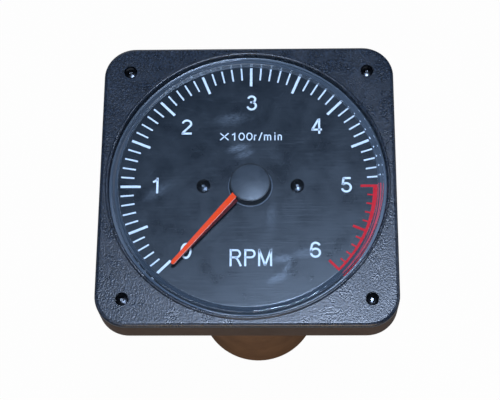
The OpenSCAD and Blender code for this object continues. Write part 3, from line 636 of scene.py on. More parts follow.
def cut_with(piece: bpy.types.Object, tool: bpy.types.Object, operation: str) -> None:
    """Cuts a piece with another one by "DIFFERENCE" or "INTERSECT", and removes that one."""
    apply_modifier(piece, "BOOLEAN", operation=operation, object=tool, solver="EXACT")
    bpy.data.objects.remove(tool)


def select_where(piece: bpy.types.Object, kind: str, test: Callable[[Vector, Vector], bool]) -> None:
    """Selects faces or edges by place and direction, and stays in edit mode.

    Args:
        piece: the object.
        kind: "FACE" or "EDGE".
        test: takes an element's middle in mm and its normal, or an edge's direction.
    """
    pick(piece)
    bpy.ops.object.mode_set(mode="EDIT")
    bpy.ops.mesh.select_mode(type=kind)
    bpy.ops.mesh.select_all(action="DESELECT")
    bpy.ops.object.mode_set(mode="OBJECT")
    mesh = piece.data
    if kind == "FACE":
        for face in mesh.polygons:
            face.select = test(face.center / MM, face.normal)
    else:
        for edge in mesh.edges:
            start, end = (mesh.vertices[i].co for i in edge.vertices)
            edge.select = test((start + end) / 2 / MM, (end - start).normalized())
    bpy.ops.object.mode_set(mode="EDIT")


def settle(piece: bpy.types.Object, name: str, smooth_angle: float = 35.0) -> bpy.types.Object:
    """Finishes a mesh: place into the mesh, doubles merged, normals outwards, smooth by angle.

    Args:
        piece: the object.
        name: its name.
        smooth_angle: edges sharper than this many degrees stay crisp.

    Returns:
        The same object.
    """
    pick(piece)
    piece.name = piece.data.name = name
    bpy.ops.object.transform_apply(location=True, rotation=True, scale=True)
    bpy.ops.object.mode_set(mode="EDIT")
    bpy.ops.mesh.select_all(action="SELECT")
    bpy.ops.mesh.remove_doubles(threshold=WELD_GAP * MM)
    bpy.ops.mesh.normals_make_consistent(inside=False)
    bpy.ops.object.mode_set(mode="OBJECT")
    bpy.ops.object.shade_smooth_by_angle(angle=math.radians(smooth_angle))
    return piece


def add_bar(middle: Place, size: Place) -> bpy.types.Object:
    """Adds a plain bar to be shaped.

    Args:
        middle: its middle in mm.
        size: its sides in mm.

    Returns:
        The bar, with its place and size in its mesh.
    """
    start_fresh()
    bpy.ops.mesh.primitive_cube_add(size=1, location=metres(*middle), scale=metres(*size))
    bpy.ops.object.transform_apply(location=True, rotation=True, scale=True)
    return bpy.context.object


def lathe(
    name: str, profile: Profile, centre: Point = (0.0, 0.0), closed: bool = False, steps: int = 256
) -> bpy.types.Object:
    """Turns a profile: a ring is extruded and resized from point to point.

    Args:
        name: the piece's name.
        profile: radius and height of each point in mm. A radius of 0 closes the end at a pole.
        centre: the axis in mm.
        closed: joins the last ring to the first, as for a ring with a hollow middle.
        steps: sides of the ring.

    Returns:
        The turned and settled piece.
    """
    start_fresh()
    from_pole = profile[0][0] == 0
    turned = profile[1:] if from_pole else profile
    bpy.ops.mesh.primitive_circle_add(
        vertices=steps,
        radius=turned[0][0] * MM,
        fill_type="TRIFAN" if from_pole else "NOTHING",
        location=metres(*centre, turned[0][1]),
    )
    piece = bpy.context.object
    bpy.ops.object.transform_apply(location=True)
    if from_pole:
        hub = min(piece.data.vertices, key=lambda v: (v.co.xy - Vector(centre) * MM).length)
        hub.co.z = profile[0][1] * MM
    bpy.ops.object.mode_set(mode="EDIT")
    bpy.ops.mesh.select_mode(type="EDGE")
    bpy.ops.mesh.select_all(action="SELECT")
    if from_pole:
        bpy.ops.mesh.region_to_loop()
    loop = turned + ([turned[0]] if closed else [])
    for (r0, z0), (r1, z1) in zip(loop, loop[1:]):
        bpy.ops.mesh.extrude_region_move(TRANSFORM_OT_translate={"value": metres(0, 0, z1 - z0)})
        if r1 == 0:
            bpy.ops.mesh.merge(type="CENTER")
            break
        if r1 != r0:
            bpy.ops.transform.resize(value=(r1 / r0, r1 / r0, 1), center_override=metres(*centre, z1))
    bpy.ops.object.mode_set(mode="OBJECT")
    return settle(piece, name)


def quarter(x: float, z: float, radius: float, steps: int) -> Profile:
    """Points on a quarter circle round (x, z), from its side to its top."""
    turns = [math.radians(90 * i / steps) for i in range(steps + 1)]
    return [(x + radius * math.cos(turn), z + radius * math.sin(turn)) for turn in turns]


def dome_points(radius: float, top: float, drop: float, shares: tuple[float, ...]) -> Profile:
    """Points on a shallow dome that falls by drop from its top to its rim, at shares of its radius."""
    return [(share * radius, top - drop * share**2) for share in (*shares, 0)]


def join(name: str, pieces: list[bpy.types.Object]) -> bpy.types.Object:
    """Joins pieces into one object.

    Args:
        name: its name.
        pieces: the pieces.

    Returns:
        The object.
    """
    pick(pieces[0])
    for piece in pieces[1:]:
        piece.select_set(True)
    bpy.ops.object.join()
    whole = bpy.context.object
    whole.name = whole.data.name = name
    return whole


def repeat(name: str, model: bpy.types.Object, places: list[Matrix]) -> bpy.types.Object:
    """Copies a model to each place, each copy with its own mesh, and removes the model.

    Args:
        name: name of the result.
        model: what is copied.
        places: where the copies go.

    Returns:
        The copies, joined.
    """
    made = []
    for place in places:
        twin = model.copy()
        twin.data = model.data.copy()
        twin.data.transform(place)
        bpy.context.scene.collection.objects.link(twin)
        made.append(twin)
    bpy.data.objects.remove(model)
    return join(name, made)


def hand_over(piece: bpy.types.Object, body: str, slot: str, *nodes: str) -> None:
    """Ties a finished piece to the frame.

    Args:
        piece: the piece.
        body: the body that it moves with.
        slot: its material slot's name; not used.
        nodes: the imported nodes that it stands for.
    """
    if nodes:
        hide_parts(*nodes)
    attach(piece, body)
    log.info("%s: %d faces on %s", piece.name, len(piece.data.polygons), body)


@dataclass(frozen=True)
class Layout:
    """Places in mm that the frame gives and that several pieces share."""

    centre: Point
    dial_z: float
    window_foot_radius: float
    window_top: float
    cap_radius: float
    cap_top: float
    needle_top: float
    boss_radius: float
    boss_low: float
    floor: float

    @classmethod
    def read(cls) -> "Layout":
        """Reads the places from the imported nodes.

        Returns:
            The layout.
        """
        dial, window, cap, boss = (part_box(node) for node in ("dial_plate", "window", "hub_cap", "hub_boss"))
        middle = (dial[0] + dial[1]) / 2 / MM
        return cls(
            centre=(middle.x, middle.y),
            dial_z=dial[1].z / MM,
            window_foot_radius=window[1].x / MM,
            window_top=window[1].z / MM,
            cap_radius=(cap[1].x - cap[0].x) / 2 / MM,
            cap_top=cap[1].z / MM,
            needle_top=cap[0].z / MM,
            boss_radius=(boss[1].x - boss[0].x) / 2 / MM,
            boss_low=boss[0].z / MM,
            floor=CAD_BOX[0].z / MM,
        )


# Sub-assemblies


@dataclass(frozen=True)
class CrossScrew:
    """A screw with a domed head and a tapered cross recess, whose floor a driver has rubbed bright."""

    head_radius: float
    head_height: float
    shank_radius: float
    recess_share: float = 0.62
    blade_share: float = 0.2
    depth_share: float = 0.6
    blade_taper: Point = (0.35, 0.6)
    blade_spare: float = 0.1
    edge_share: float = 0.1
    edge_steps: int = 4
    crown_share: float = 0.24
    crown_shares: tuple[float, ...] = (0.88, 0.75, 0.6, 0.45, 0.3, 0.15)
    burr: float = 0.06
    crease: float = 30.0
    steps: int = 48

    def model(self, head_low: float, tip: float) -> bpy.types.Object:
        """Models the screw on the z axis.

        Args:
            head_low: height of the head's underside in mm.
            tip: height of the tip in mm.

        Returns:
            The screw.
        """
        r, h = self.head_radius, self.head_height
        top, edge, crown = head_low + h, r * self.edge_share, h * self.crown_share
        screw = lathe("screw", [
            (0, tip), (self.shank_radius, tip), (self.shank_radius, head_low), (r, head_low),
            *quarter(r - edge, top - crown - edge, edge, self.edge_steps),
            *dome_points(r - edge, top, crown, self.crown_shares),
        ], steps=self.steps)
        for turn in (0, 90):
            cut_with(screw, self._blade(top, turn), "DIFFERENCE")
        settle(screw, "screw", self.crease)
        dress(screw, BLACK_OXIDE, RUBBED_STEEL)
        floor = head_low + h * (1 - self.depth_share)
        for face in screw.data.polygons:
            middle = face.center / MM
            on_floor = face.normal.z > TOWARDS and abs(middle.z - floor) < self.burr
            face.material_index = 1 if on_floor and middle.xy.length < r * self.recess_share else 0
        return screw

    def _blade(self, top: float, turn: float) -> bpy.types.Object:
        """Models one blade of the cutter: a bar that narrows downwards.

        Args:
            top: height of the head's top in mm.
            turn: the blade's direction in degrees.

        Returns:
            The blade.
        """
        length, width = self.head_radius * 2 * self.recess_share, self.head_radius * 2 * self.blade_share
        deep, spare = self.head_height * self.depth_share, self.blade_spare
        blade = add_bar((0, 0, top - deep / 2 + spare), (length, width, deep + 2 * spare))
        select_where(blade, "FACE", lambda middle, normal: normal.z < -TOWARDS)
        bpy.ops.transform.resize(value=(*self.blade_taper, 1), center_override=metres(0, 0, top - deep))
        bpy.ops.mesh.select_all(action="SELECT")
        bpy.ops.transform.rotate(value=math.radians(turn), orient_axis="Z", center_override=(0, 0, 0))
        bpy.ops.object.mode_set(mode="OBJECT")
        return blade


@dataclass
class Bezel:
    """The clear window cup and the corner screws of the square front plate."""

    layout: Layout
    wall: float = 2.1
    wall_foot: float = 1.5
    disc: float = 1.1
    foot_width: float = 3.0
    foot_thickness: float = 1.5
    edge_round: float = 0.55
    corner_round: float = 0.4
    round_steps: int = 6
    flat_end: float = 0.05
    draft_step: float = 0.25
    haze_gap: float = 0.1
    screw: CrossScrew = CrossScrew(2.3, 1.4, 1.45)
    screw_turns: tuple[float, ...] = (38.0, 12.0, 64.0, 27.0)

    def build(self) -> None:
        """Models and dresses the pieces."""
        self.window()
        self.screws()

    def window(self) -> None:
        """The window: a flat front, a wall with a wide draft inside and a foot, as one clear piece."""
        at = self.layout
        outer = at.window_foot_radius - self.foot_width
        inner = outer - self.wall
        low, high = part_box("window")[0].z / MM, at.window_top
        foot_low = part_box("window_gasket")[1].z / MM
        foot_high = foot_low + self.foot_thickness
        soft, corner, under = self.edge_round, self.corner_round, high - self.disc
        profile: Profile = [
            (0, under),
            (inner / 2, under),
            (inner - corner - self.flat_end, under),
            *quarter(inner - corner, under - corner, corner, self.round_steps)[::-1],
            (outer - self.wall_foot, low + self.draft_step),
            (outer - self.wall_foot + self.draft_step, low),
            (outer, low),
            (outer, foot_low),
            (at.window_foot_radius, foot_low),
            (at.window_foot_radius, foot_high),
            (outer, foot_high),
            *quarter(outer - soft, high - soft, soft, self.round_steps),
            (outer - soft - self.flat_end, high),
            (inner / 2, high),
            (0, high),
        ]
        cup = lathe("window_cup", profile)
        dress(cup, ClearAcrylic(haze_radius=inner - corner, haze_top=under - self.haze_gap))
        hand_over(cup, CASE, "clear_plastic", "window")

    def screws(self) -> None:
        """The four corner screws, each turned differently."""
        low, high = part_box("frame_screws")
        reach = high.x / MM - self.screw.head_radius
        corners = [(-reach, reach), (reach, reach), (-reach, -reach), (reach, -reach)]
        places = [turned_at(x, y, turn=turn) for (x, y), turn in zip(corners, self.screw_turns)]
        model = self.screw.model(high.z / MM - self.screw.head_height, low.z / MM)
        hand_over(repeat("corner_screws", model, places), CASE, "black_steel", "frame_screws")


@dataclass
class Lettering:
    """Printed characters, drawn as strokes in a box of height 1. Its weight is a share of that height."""

    weight: float = 0.135
    arc_step: float = 12.0
    arc_least: int = 4
    ink: float = 0.05
    touching: float = 1e-6

    def arc(self, x: float, y: float, rx: float, ry: float, start: float, end: float) -> list[Point]:
        """Points along part of an ellipse.

        Args:
            x: its centre.
            y: its centre.
            rx: its half width.
            ry: its half height.
            start: first angle in degrees.
            end: last angle in degrees.

        Returns:
            The points.
        """
        count = max(self.arc_least, round(abs(end - start) / self.arc_step))
        turns = [math.radians(start + (end - start) * i / count) for i in range(count + 1)]
        return [(x + rx * math.cos(a), y + ry * math.sin(a)) for a in turns]

    def strokes(self, sign: str) -> tuple[float, list[list[Point]]]:
        """The strokes of one character.

        Args:
            sign: a digit, a letter of the unit words, "x" for the times sign or "/".

        Returns:
            The character's width and its centre lines. A line that ends where it starts is closed.
        """
        arc, h = self.arc, self.weight / 2
        top, low = 1 - h, h
        arch = [*arc(0.215, 0.5, 0.155, 0.175, 170, 0), (0.37, 0.0)]
        curl = arc(0.42, 0.725, 0.215, 0.21, 90, -90)
        bowl = [(h, top), (0.42, top), *curl[1:-1], (0.42, 0.515), (h, 0.515)]
        signs: dict[str, tuple[float, list[list[Point]]]] = {
            "0": (0.68, [arc(0.34, 0.5, 0.34 - h, 0.5 - h, 90, 450)]),
            "1": (0.68, [[(0.43, 0), (0.43, 1)], [(0.42, 0.93), (0.32, 0.8), (0.15, 0.72)]]),
            "2": (0.68, [arc(0.34, 0.71, 0.265, 0.225, 170, -35) + [(0.33, 0.35), (0.13, 0.17), (0.07, h)],
                         [(0.02, low), (0.65, low)]]),
            "3": (0.68, [arc(0.33, 0.74, 0.225, 0.195, 165, -90), arc(0.33, 0.305, 0.265, 0.24, 90, -168),
                         [(0.24, 0.545), (0.36, 0.545)]]),
            "4": (0.68, [[(0.5, 0), (0.5, 1)], [(0.01, 0.27), (0.67, 0.27)], [(0.06, 0.27), (0.46, 0.95)]]),
            "5": (0.68, [[(0.15, top), (0.61, top)], [(0.18, 0.96), (0.11, 0.5)],
                         arc(0.335, 0.335, 0.275, 0.27, 142, -166)]),
            "6": (0.68, [arc(0.345, 0.315, 0.27, 0.25, 90, 450),
                         [*arc(0.36, 0.67, 0.255, 0.265, 22, 150),
                          (0.085, 0.58), (0.072, 0.44), (0.078, 0.3)]]),
            "R": (0.76, [[(h, 0), (h, 1)], bowl, [(0.34, 0.5), (0.45, 0.44), (0.55, 0.3), (0.7, 0.0)]]),
            "P": (0.72, [[(h, 0), (h, 1)], bowl]),
            "M": (0.86, [[(h, 0), (h, 1)], [(0.86 - h, 0), (0.86 - h, 1)],
                         [(h, 0.97), (0.43, 0.04)], [(0.86 - h, 0.97), (0.43, 0.04)]]),
            "x": (0.98, [[(0.04, 0.06), (0.9, 0.94)], [(0.04, 0.94), (0.9, 0.06)]]),
            "r": (0.36, [[(0.05, 0), (0.05, 0.72)], arc(0.22, 0.46, 0.165, 0.2, 165, 75)]),
            "/": (0.42, [[(0.02, -0.02), (0.34, 1.02)]]),
            "i": (0.22, [[(0.06, 0), (0.06, 0.72)], [(0.06, 0.86), (0.06, 1)]]),
            "n": (0.56, [[(0.05, 0), (0.05, 0.72)], arch]),
            "m": (0.94, [[(0.05, 0), (0.05, 0.72)], arch, [(x + 0.32, y) for x, y in arch]]),
        }
        return signs[sign]

    def print_words(self, name: str, words: list["Word"], z: float) -> bpy.types.Object:
        """Prints words as one thin raised piece.

        Args:
            name: the piece's name.
            words: what is printed, where and how large.
            z: height of the surface in mm.

        Returns:
            The piece.
        """
        printed = []
        for weight in sorted({word.weight for word in words}):
            curve = bpy.data.curves.new(name, "CURVE")
            curve.dimensions = "3D"
            curve.extrude = self.ink / 2 * MM
            for line in [line for word in words if word.weight == weight for line in word.lines(self)]:
                shut = len(line) > 3 and math.dist(line[0], line[-1]) < self.touching
                points = line[:-1] if shut else line
                spline = curve.splines.new("POLY")
                spline.points.add(len(points) - 1)
                for point, (x, y) in zip(spline.points, points):
                    point.co = (*metres(x, y, z + self.ink / 2), 1)
                spline.use_cyclic_u = shut
            ribbon = bpy.data.objects.new(name, curve)
            bpy.context.scene.collection.objects.link(ribbon)
            pick(ribbon)
            bpy.ops.object.convert(target="MESH")
            ribbon = bpy.context.object
            apply_modifier(ribbon, "SOLIDIFY", thickness=weight * MM, offset=0.0, use_even_offset=True)
            printed.append(ribbon)
        return settle(join(name, printed), name)


@dataclass(frozen=True)
class Word:
    """One printed word: its text, centre, height and width in mm, and stroke weight in mm."""

    text: str
    middle: Point
    height: float
    width: float
    weight: float
    gap: float = 0.13

    def lines(self, letters: Lettering) -> list[list[Point]]:
        """Sets the word's characters side by side.

        Args:
            letters: draws the characters.

        Returns:
            Their centre lines in mm.
        """
        gap = self.gap if len(self.text) > 1 else 0
        at, placed = 0.0, []
        for sign in self.text:
            advance, strokes = letters.strokes(sign)
            placed += [[(at + x, y) for x, y in stroke] for stroke in strokes]
            at += advance + gap
        kx = self.width / (at - gap)
        left, low = self.middle[0] - self.width / 2, self.middle[1] - self.height / 2
        return [[(left + x * kx, low + y * self.height) for x, y in line] for line in placed]


@dataclass
class Dial:
    """The printed figures and the two dial screws. Places are shares of the scale's middle radius."""

    layout: Layout
    unit: float = 44.94
    figure_height: float = 6.2
    figure_width: float = 4.1
    figure_weight: float = 0.78
    figure_places: tuple[Point, ...] = (
        (-0.523, -0.562), (-0.786, 0.010), (-0.540, 0.538), (0.007, 0.757), (0.554, 0.540), (0.795, 0.010),
        (0.533, -0.555),
    )
    unit_words: tuple[tuple[str, Point, float, float, float], ...] = (
        ("RPM", (0.008, -0.621), 6.6, 15.6, 0.74),
        ("x100r/min", (0.006, 0.448), 3.2, 23.9, 0.42),
    )
    screw: CrossScrew = CrossScrew(2.55, 1.5, 1.2)
    screw_turns: Point = (20.0, 55.0)

    def build(self) -> None:
        """Models and dresses the pieces."""
        self.figures()
        self.screws()

    def place(self, share: Point) -> Point:
        """A point of the dial in mm, from shares of the scale's middle radius."""
        return (self.layout.centre[0] + share[0] * self.unit, self.layout.centre[1] + share[1] * self.unit)

    def figures(self) -> None:
        """Figures 0 to 6 and the words for the unit, in white ink."""
        size = (self.figure_height, self.figure_width, self.figure_weight)
        digits = [Word(str(n), self.place(share), *size) for n, share in enumerate(self.figure_places)]
        words = [Word(text, self.place(share), *sizes) for text, share, *sizes in self.unit_words]
        for name, group in (("dial_figures", digits), ("dial_unit_words", words)):
            piece = Lettering().print_words(name, group, self.layout.dial_z)
            dress(piece, WHITE_INK)
            hand_over(piece, CASE, "white_ink")

    def screws(self) -> None:
        """The two screws that hold the dial."""
        low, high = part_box("dial_screws")
        reach = (high.x - low.x) / 2 / MM - self.screw.head_radius
        x, y = self.layout.centre
        places = [turned_at(x + side * reach, y, turn=turn) for side, turn in zip((-1, 1), self.screw_turns)]
        model = self.screw.model(self.layout.dial_z, low.z / MM)
        hand_over(repeat("dial_head_screws", model, places), CASE, "black_steel", "dial_screws")


@dataclass
class NeedleAndHub:
    """The folded needle, its boss and the cap over them."""

    layout: Layout
    rest_angle: float = 228.0
    sheet: float = 0.4
    length: float = 42.3
    root: float = 1.6
    root_width: float = 2.4
    tip_width: float = 1.45
    tip_round_share: float = 0.96
    side_gap: float = 0.3
    fold_width: float = 1.15
    fold_drop: float = 1.0
    fold_end: float = 0.12
    fold_round: float = 0.08
    fold_low_share: float = 0.75
    fold_facing: float = 0.6
    side_facing: Point = (0.3, 0.5)
    sheet_crease: float = 8.0
    near: float = 0.05
    disc_radius: float = 4.0
    cap_dome: float = 0.6
    cap_shares: tuple[float, ...] = (0.94, 0.82, 0.68, 0.5, 0.3, 0.12)
    cap_edge_width: float = 0.38
    cap_round: float = 0.07
    boss_foot: tuple[Point, ...] = ((0.4, 0.0), (0.4, 0.08), (0.2, 0.16), (0.0, 0.4), (-0.1, 0.8))
    boss_taper: float = 0.5
    worn_height: float = 0.3
    worn_facing: float = 0.2
    hub_steps: int = 160
    disc_steps: int = 64
    tip_segments: int = 6

    def build(self) -> None:
        """Models and dresses the pieces."""
        self.cap()
        self.boss()
        self.needle()

    def cap(self) -> None:
        """The hub cap: a thin pressed disc with a low dome and a rounded rim."""
        at, soft = self.layout, self.cap_round
        r, low, rim_top = at.cap_radius, at.needle_top, at.cap_top - self.cap_dome
        rim = [(r - soft, low), (r, low + soft), (r, rim_top - soft), (r - soft / 2, rim_top - soft / 3)]
        dome = [(r - 2 * soft, rim_top), *dome_points(r, at.cap_top, self.cap_dome, self.cap_shares)]
        cap = lathe("pressed_hub_cap", [(0, low), *rim, *dome], at.centre, steps=self.hub_steps)
        dress(cap, CAP_ENAMEL, CAP_EDGE_SHADE)
        # Faces near the rim and those facing down get the near-black painted shade
        for face in cap.data.polygons:
            away = (face.center.xy / MM - Vector(at.centre)).length
            face.material_index = 1 if away > r - self.cap_edge_width or face.normal.z < 0 else 0
        hand_over(cap, NEEDLE, "grey_cap", "hub_cap")

    def boss(self) -> None:
        """The boss under the cap, with a small flared foot whose upper side carries a pale painted highlight.
        """
        at = self.layout
        r, low, top = at.boss_radius, at.boss_low, at.needle_top - self.sheet
        foot = [(r + out, low + up) for out, up in self.boss_foot]
        profile = [(0, low), *foot, (r - self.boss_taper, top), (0, top)]
        boss = lathe("hub_boss_moulding", profile, at.centre, steps=self.hub_steps)
        dress(boss, BOSS_NYLON, BOSS_FOOT_HIGHLIGHT)
        # Upward faces low on the foot get the pale painted highlight
        for face in boss.data.polygons:
            pale_mark = face.normal.z > self.worn_facing and face.center.z / MM < low + self.worn_height
            face.material_index = 1 if pale_mark else 0
        hand_over(boss, NEEDLE, "black_boss", "hub_boss")

    def needle(self) -> None:
        """The needle: a tapered strip, round at the tip, with one side folded down."""
        at = self.layout
        wide, middle_z = self.root_width, at.needle_top - self.sheet / 2
        low, top = middle_z - self.sheet / 2, middle_z + self.sheet / 2
        side_from = at.boss_radius + self.side_gap
        fold_bottom = middle_z - self.fold_drop * self.fold_low_share
        strip = add_bar(((self.root + self.length) / 2, -wide / 2, middle_z),
                        (self.length - self.root, wide, self.sheet))
        select_where(strip, "FACE", lambda middle, normal: normal.x > TOWARDS)
        end = metres(self.length, -wide / 2, middle_z)
        bpy.ops.transform.resize(value=(1, self.tip_width / wide, 1), center_override=end)
        bpy.ops.transform.translate(value=metres(0, wide / 2, 0))
        select_where(strip, "EDGE", lambda middle, way: (
            abs(way.z) > TOWARDS and middle.x > self.length - self.near))
        tip_radius = self.tip_width / 2 * self.tip_round_share
        bpy.ops.mesh.bevel(offset=tip_radius * MM, segments=self.tip_segments, affect="EDGES")
        bpy.ops.mesh.select_all(action="SELECT")
        bpy.ops.mesh.bisect(plane_co=metres(side_from, 0, 0), plane_no=(1, 0, 0))
        select_where(strip, "FACE", lambda middle, normal: normal.y > SQUARELY and middle.x > side_from)
        bpy.ops.mesh.extrude_region_move(
            TRANSFORM_OT_translate={"value": metres(0, self.fold_width, -self.fold_drop)})
        # The fold narrows to fold_end at the needle's far end
        select_where(strip, "EDGE", lambda middle, way: (
            abs(way.x) < 1 - TOWARDS and middle.x > self.length / 2 and middle.z < fold_bottom))
        bpy.ops.transform.translate(
            value=metres(0, self.fold_end - self.fold_width, self.fold_drop - self.fold_end))
        select_where(strip, "EDGE", lambda middle, way: (
            abs(way.x) > TOWARDS and middle.x > side_from and middle.y > 0 and middle.z > top - self.near))
        bpy.ops.mesh.bevel(offset=self.fold_round * MM, segments=1, affect="EDGES")
        settle(strip, "needle_strip", self.sheet_crease)
        self._paint_strip(strip, top)
        edge = [(self.disc_radius, low), (self.disc_radius, top)]
        disc = lathe("needle_disc", [(0, low), *edge, (0, top)], steps=self.disc_steps)
        dress(disc, NEEDLE_ENAMEL)
        whole = join("folded_needle", [strip, disc])
        whole.data.transform(turned_at(*at.centre, turn=self.rest_angle))
        hand_over(whole, NEEDLE, "needle_paint", "pointer")

    def _paint_strip(self, strip: bpy.types.Object, top: float) -> None:
        """Paints the face its enamel, the folded side a dark painted shade and the fold between them a pale
        painted highlight, told apart by where they face.

        Args:
            strip: the needle.
            top: height of its face in mm.
        """
        dress(strip, NEEDLE_ENAMEL, NEEDLE_SIDE_SHADE, NEEDLE_FOLD_HIGHLIGHT)
        sideways, upwards = self.side_facing
        for face in strip.data.polygons:
            if face.normal.z > SQUARELY:
                face.material_index = 0
            # The fold's rounded top edge gets the pale painted highlight
            elif face.center.z / MM > top - self.fold_round and face.normal.z > self.fold_facing:
                face.material_index = 2
            # The folded side gets the dark red painted shade
            elif face.normal.y > sideways or face.normal.z < upwards:
                face.material_index = 1


@dataclass
class RearCase:
    """The terminal nuts and the screws of the rear cover."""

    layout: Layout
    nut_angles: tuple[float, ...] = (90.0, 210.0, 330.0)
    nut_thickness: float = 3.0
    nut_radius: float = 4.0
    nut_bore: float = 2.01
    nut_chamfer: float = 0.4
    nut_crease: float = 25.0
    nut_turn: float = 30.0
    cutter_gap: float = 0.05
    cutter_spare: float = 0.1
    cutter_steps: int = 48
    screw: CrossScrew = CrossScrew(2.2, 1.3, 1.2)
    screw_angles: tuple[float, ...] = (30.0, 150.0, 270.0)
    screw_turn_share: float = 0.7

    def build(self) -> None:
        """Models and dresses the pieces."""
        self.nuts()
        self.screws()

    def nuts(self) -> None:
        """Chamfered hexagon nuts on the terminal studs, inside and outside the cover."""
        low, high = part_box("terminal_nuts")
        circle = high.y / MM - self.nut_radius
        places = [
            turned_at(0, 0, z, angle) @ turned_at(circle, 0)
            for z in (low.z / MM, high.z / MM - self.nut_thickness)
            for angle in self.nut_angles
        ]
        whole = repeat("hexagon_nuts", self._nut(), places)
        dress(whole, TURNED_BRASS)
        hand_over(whole, CASE, "brass", "terminal_nuts")

    def _nut(self) -> bpy.types.Object:
        """Models one nut on the z axis, standing on z = 0: a hexagon with a bore and chamfered corners.

        Returns:
            The nut.
        """
        r, thick, chamfer, spare = self.nut_radius, self.nut_thickness, self.nut_chamfer, self.cutter_spare
        start_fresh()
        bpy.ops.mesh.primitive_cylinder_add(
            vertices=6,
            radius=r * MM,
            depth=thick * MM,
            location=metres(0, 0, thick / 2),
            rotation=(0, 0, math.radians(self.nut_turn)),
        )
        nut = bpy.context.object
        bpy.ops.object.transform_apply(location=True, rotation=True, scale=True)
        wide, bore = r + self.cutter_gap, self.nut_bore
        low, high, cone = -spare, thick + spare, r - chamfer
        outside = [(cone, low), (wide, chamfer), (wide, thick - chamfer), (cone, high)]
        ring = [*outside, (bore, high), (bore, low)]
        cutter = lathe("cutter", ring, closed=True, steps=self.cutter_steps)
        cut_with(nut, cutter, "INTERSECT")
        return settle(nut, "nut", self.nut_crease)

    def screws(self) -> None:
        """The cover's three screws, with their heads towards the rear."""
        low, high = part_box("cover_screws")
        model = self.screw.model((high.z - low.z) / MM - self.screw.head_height, 0.0)
        model.data.transform(Matrix.Translation((0, 0, high.z)) @ Matrix.Scale(-1, 4, (0, 0, 1)))
        settle(model, "screw", self.screw.crease)
        circle = -low.y / MM - self.screw.head_radius
        places = [
            turned_at(0, 0, turn=angle) @ turned_at(circle, 0, turn=angle * self.screw_turn_share)
            for angle in self.screw_angles
        ]
        hand_over(repeat("rear_cover_screws", model, places), CASE, "black_steel", "cover_screws")


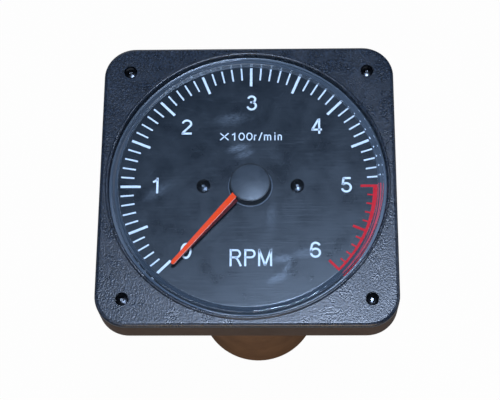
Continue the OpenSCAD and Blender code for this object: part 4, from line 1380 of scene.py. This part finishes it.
@dataclass
class Studio:
    """Pale floor, soft lamps and the camera at the photograph's angle.

    Each lamp has its name, its middle and side in mm, its power in watts and its colour.
    """

    layout: Layout
    camera_place: Place = (16.978, -183.529, 489.303)
    camera_target: Place = (0.960, -7.257, 14.2)
    camera_right: Place = (0.99949209, 0.00706574, -0.03107482)
    camera_lens: float = 99.298
    sensor_width: float = 36.0
    background: str = "#ffffff"
    floor_size: float = 8000.0
    floor_colour: str = "#8f877c"
    floor_white_share: float = 0.98
    surround: str = "#b4cdf0"
    surround_strength: float = 0.12
    lamps: tuple[tuple[str, Place, float, float, str], ...] = (
        ("key_softbox", (62.0, -5.0, 760.0), 150.0, 7.2, "#cbdfff"),
        ("fill_softbox", (-380.0, -620.0, 620.0), 600.0, 3.2, "#dfeaff"),
        ("low_fill", (60.0, -650.0, -30.0), 420.0, 2.6, "#ffe6c8"),
        ("rear_fill", (-200.0, 720.0, 260.0), 600.0, 1.2, "#eef4ff"),
        ("left_fill", (-760.0, -60.0, 240.0), 500.0, 0.7, "#dfeaff"),
        ("right_fill", (760.0, 60.0, 240.0), 500.0, 1.2, "#dfeaff"),
    )

    def build(self) -> None:
        """Sets up everything that isn't part of the object."""
        scene = bpy.context.scene
        scene.view_settings.view_transform = "Standard"
        self.world(scene)
        self.floor()
        for lamp in self.lamps:
            self.lamp(*lamp)
        self.camera(scene)

    def world(self, scene: bpy.types.Scene) -> None:
        """A soft cool surround for lighting, and plain white where the camera looks past the floor.

        Args:
            scene: the scene.
        """
        scene.world = bpy.data.worlds.new("studio_surround")
        add = empty_nodes(scene.world)
        seen = add("LightPath").outputs["Is Camera Ray"]
        soft = add("Background", {"Color": linear(self.surround), "Strength": self.surround_strength})
        white = add("Background", {"Color": linear(self.background), "Strength": 1.0})
        add("OutputWorld", {"Surface": add("MixShader", {0: seen, 1: soft, 2: white})})

    def floor(self) -> None:
        """A wide floor under the case, white to the camera with a faint shadow, over dull card."""
        start_fresh()
        bpy.ops.mesh.primitive_plane_add(size=self.floor_size * MM, location=metres(0, 0, self.layout.floor))
        floor = settle(bpy.context.object, "floor")
        material = bpy.data.materials.new("matt_white_paper")
        add = empty_nodes(material)
        seen = add("LightPath").outputs["Is Camera Ray"]
        share = add("Math", {0: seen, 1: self.floor_white_share}, operation="MULTIPLY")
        paper = add("BsdfDiffuse", {"Color": linear(self.floor_colour)})
        glow = add("Emission", {"Color": linear(self.background), "Strength": 1.0})
        add("OutputMaterial", {"Surface": add("MixShader", {0: share, 1: paper, 2: glow})})
        floor.data.materials.append(material)

    def lamp(self, name: str, place: Place, size: float, watts: float, colour: str) -> None:
        """Adds a square softbox that faces the panel seat's middle.

        Args:
            name: its name.
            place: its middle in mm.
            size: its side in mm.
            watts: its power.
            colour: its light.
        """
        data = bpy.data.lights.new(name, "AREA")
        data.shape, data.size, data.energy = "SQUARE", size * MM, watts
        data.color = linear(colour)[:3]
        lamp = bpy.data.objects.new(name, data)
        bpy.context.scene.collection.objects.link(lamp)
        lamp.location = metres(*place)
        lamp.rotation_euler = (-lamp.location).to_track_quat("-Z", "Y").to_euler()

    def camera(self, scene: bpy.types.Scene) -> None:
        """The camera, as solved from the photograph's marks, screws and outline.

        Args:
            scene: the scene.
        """
        data = bpy.data.cameras.new("camera")
        data.lens, data.sensor_width = self.camera_lens, self.sensor_width
        camera = bpy.data.objects.new("camera", data)
        scene.collection.objects.link(camera)
        camera.location = metres(*self.camera_place)
        back = (Vector(self.camera_place) - Vector(self.camera_target)).normalized()
        right = (Vector(self.camera_right) - back * back.dot(Vector(self.camera_right))).normalized()
        camera.rotation_euler = Matrix((right, back.cross(right), back)).transposed().to_euler()
        scene.camera = camera


def dress_nodes() -> None:
    """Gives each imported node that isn't modelled again its finish."""
    for finish, names in NODES_IN_FINISH.items():
        for name in names:
            dress(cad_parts[name], finish)
        log.info("%s: %s", finish.name, ", ".join(names))


def main() -> None:
    """Builds the object piece by piece, then the studio."""
    logging.basicConfig(level=logging.INFO, format="%(message)s")
    layout = Layout.read()
    dress_nodes()
    for part in (Bezel(layout), Dial(layout), NeedleAndHub(layout), RearCase(layout), Studio(layout)):
        part.build()
    start_fresh()


if __name__ == "__main__":
    main()
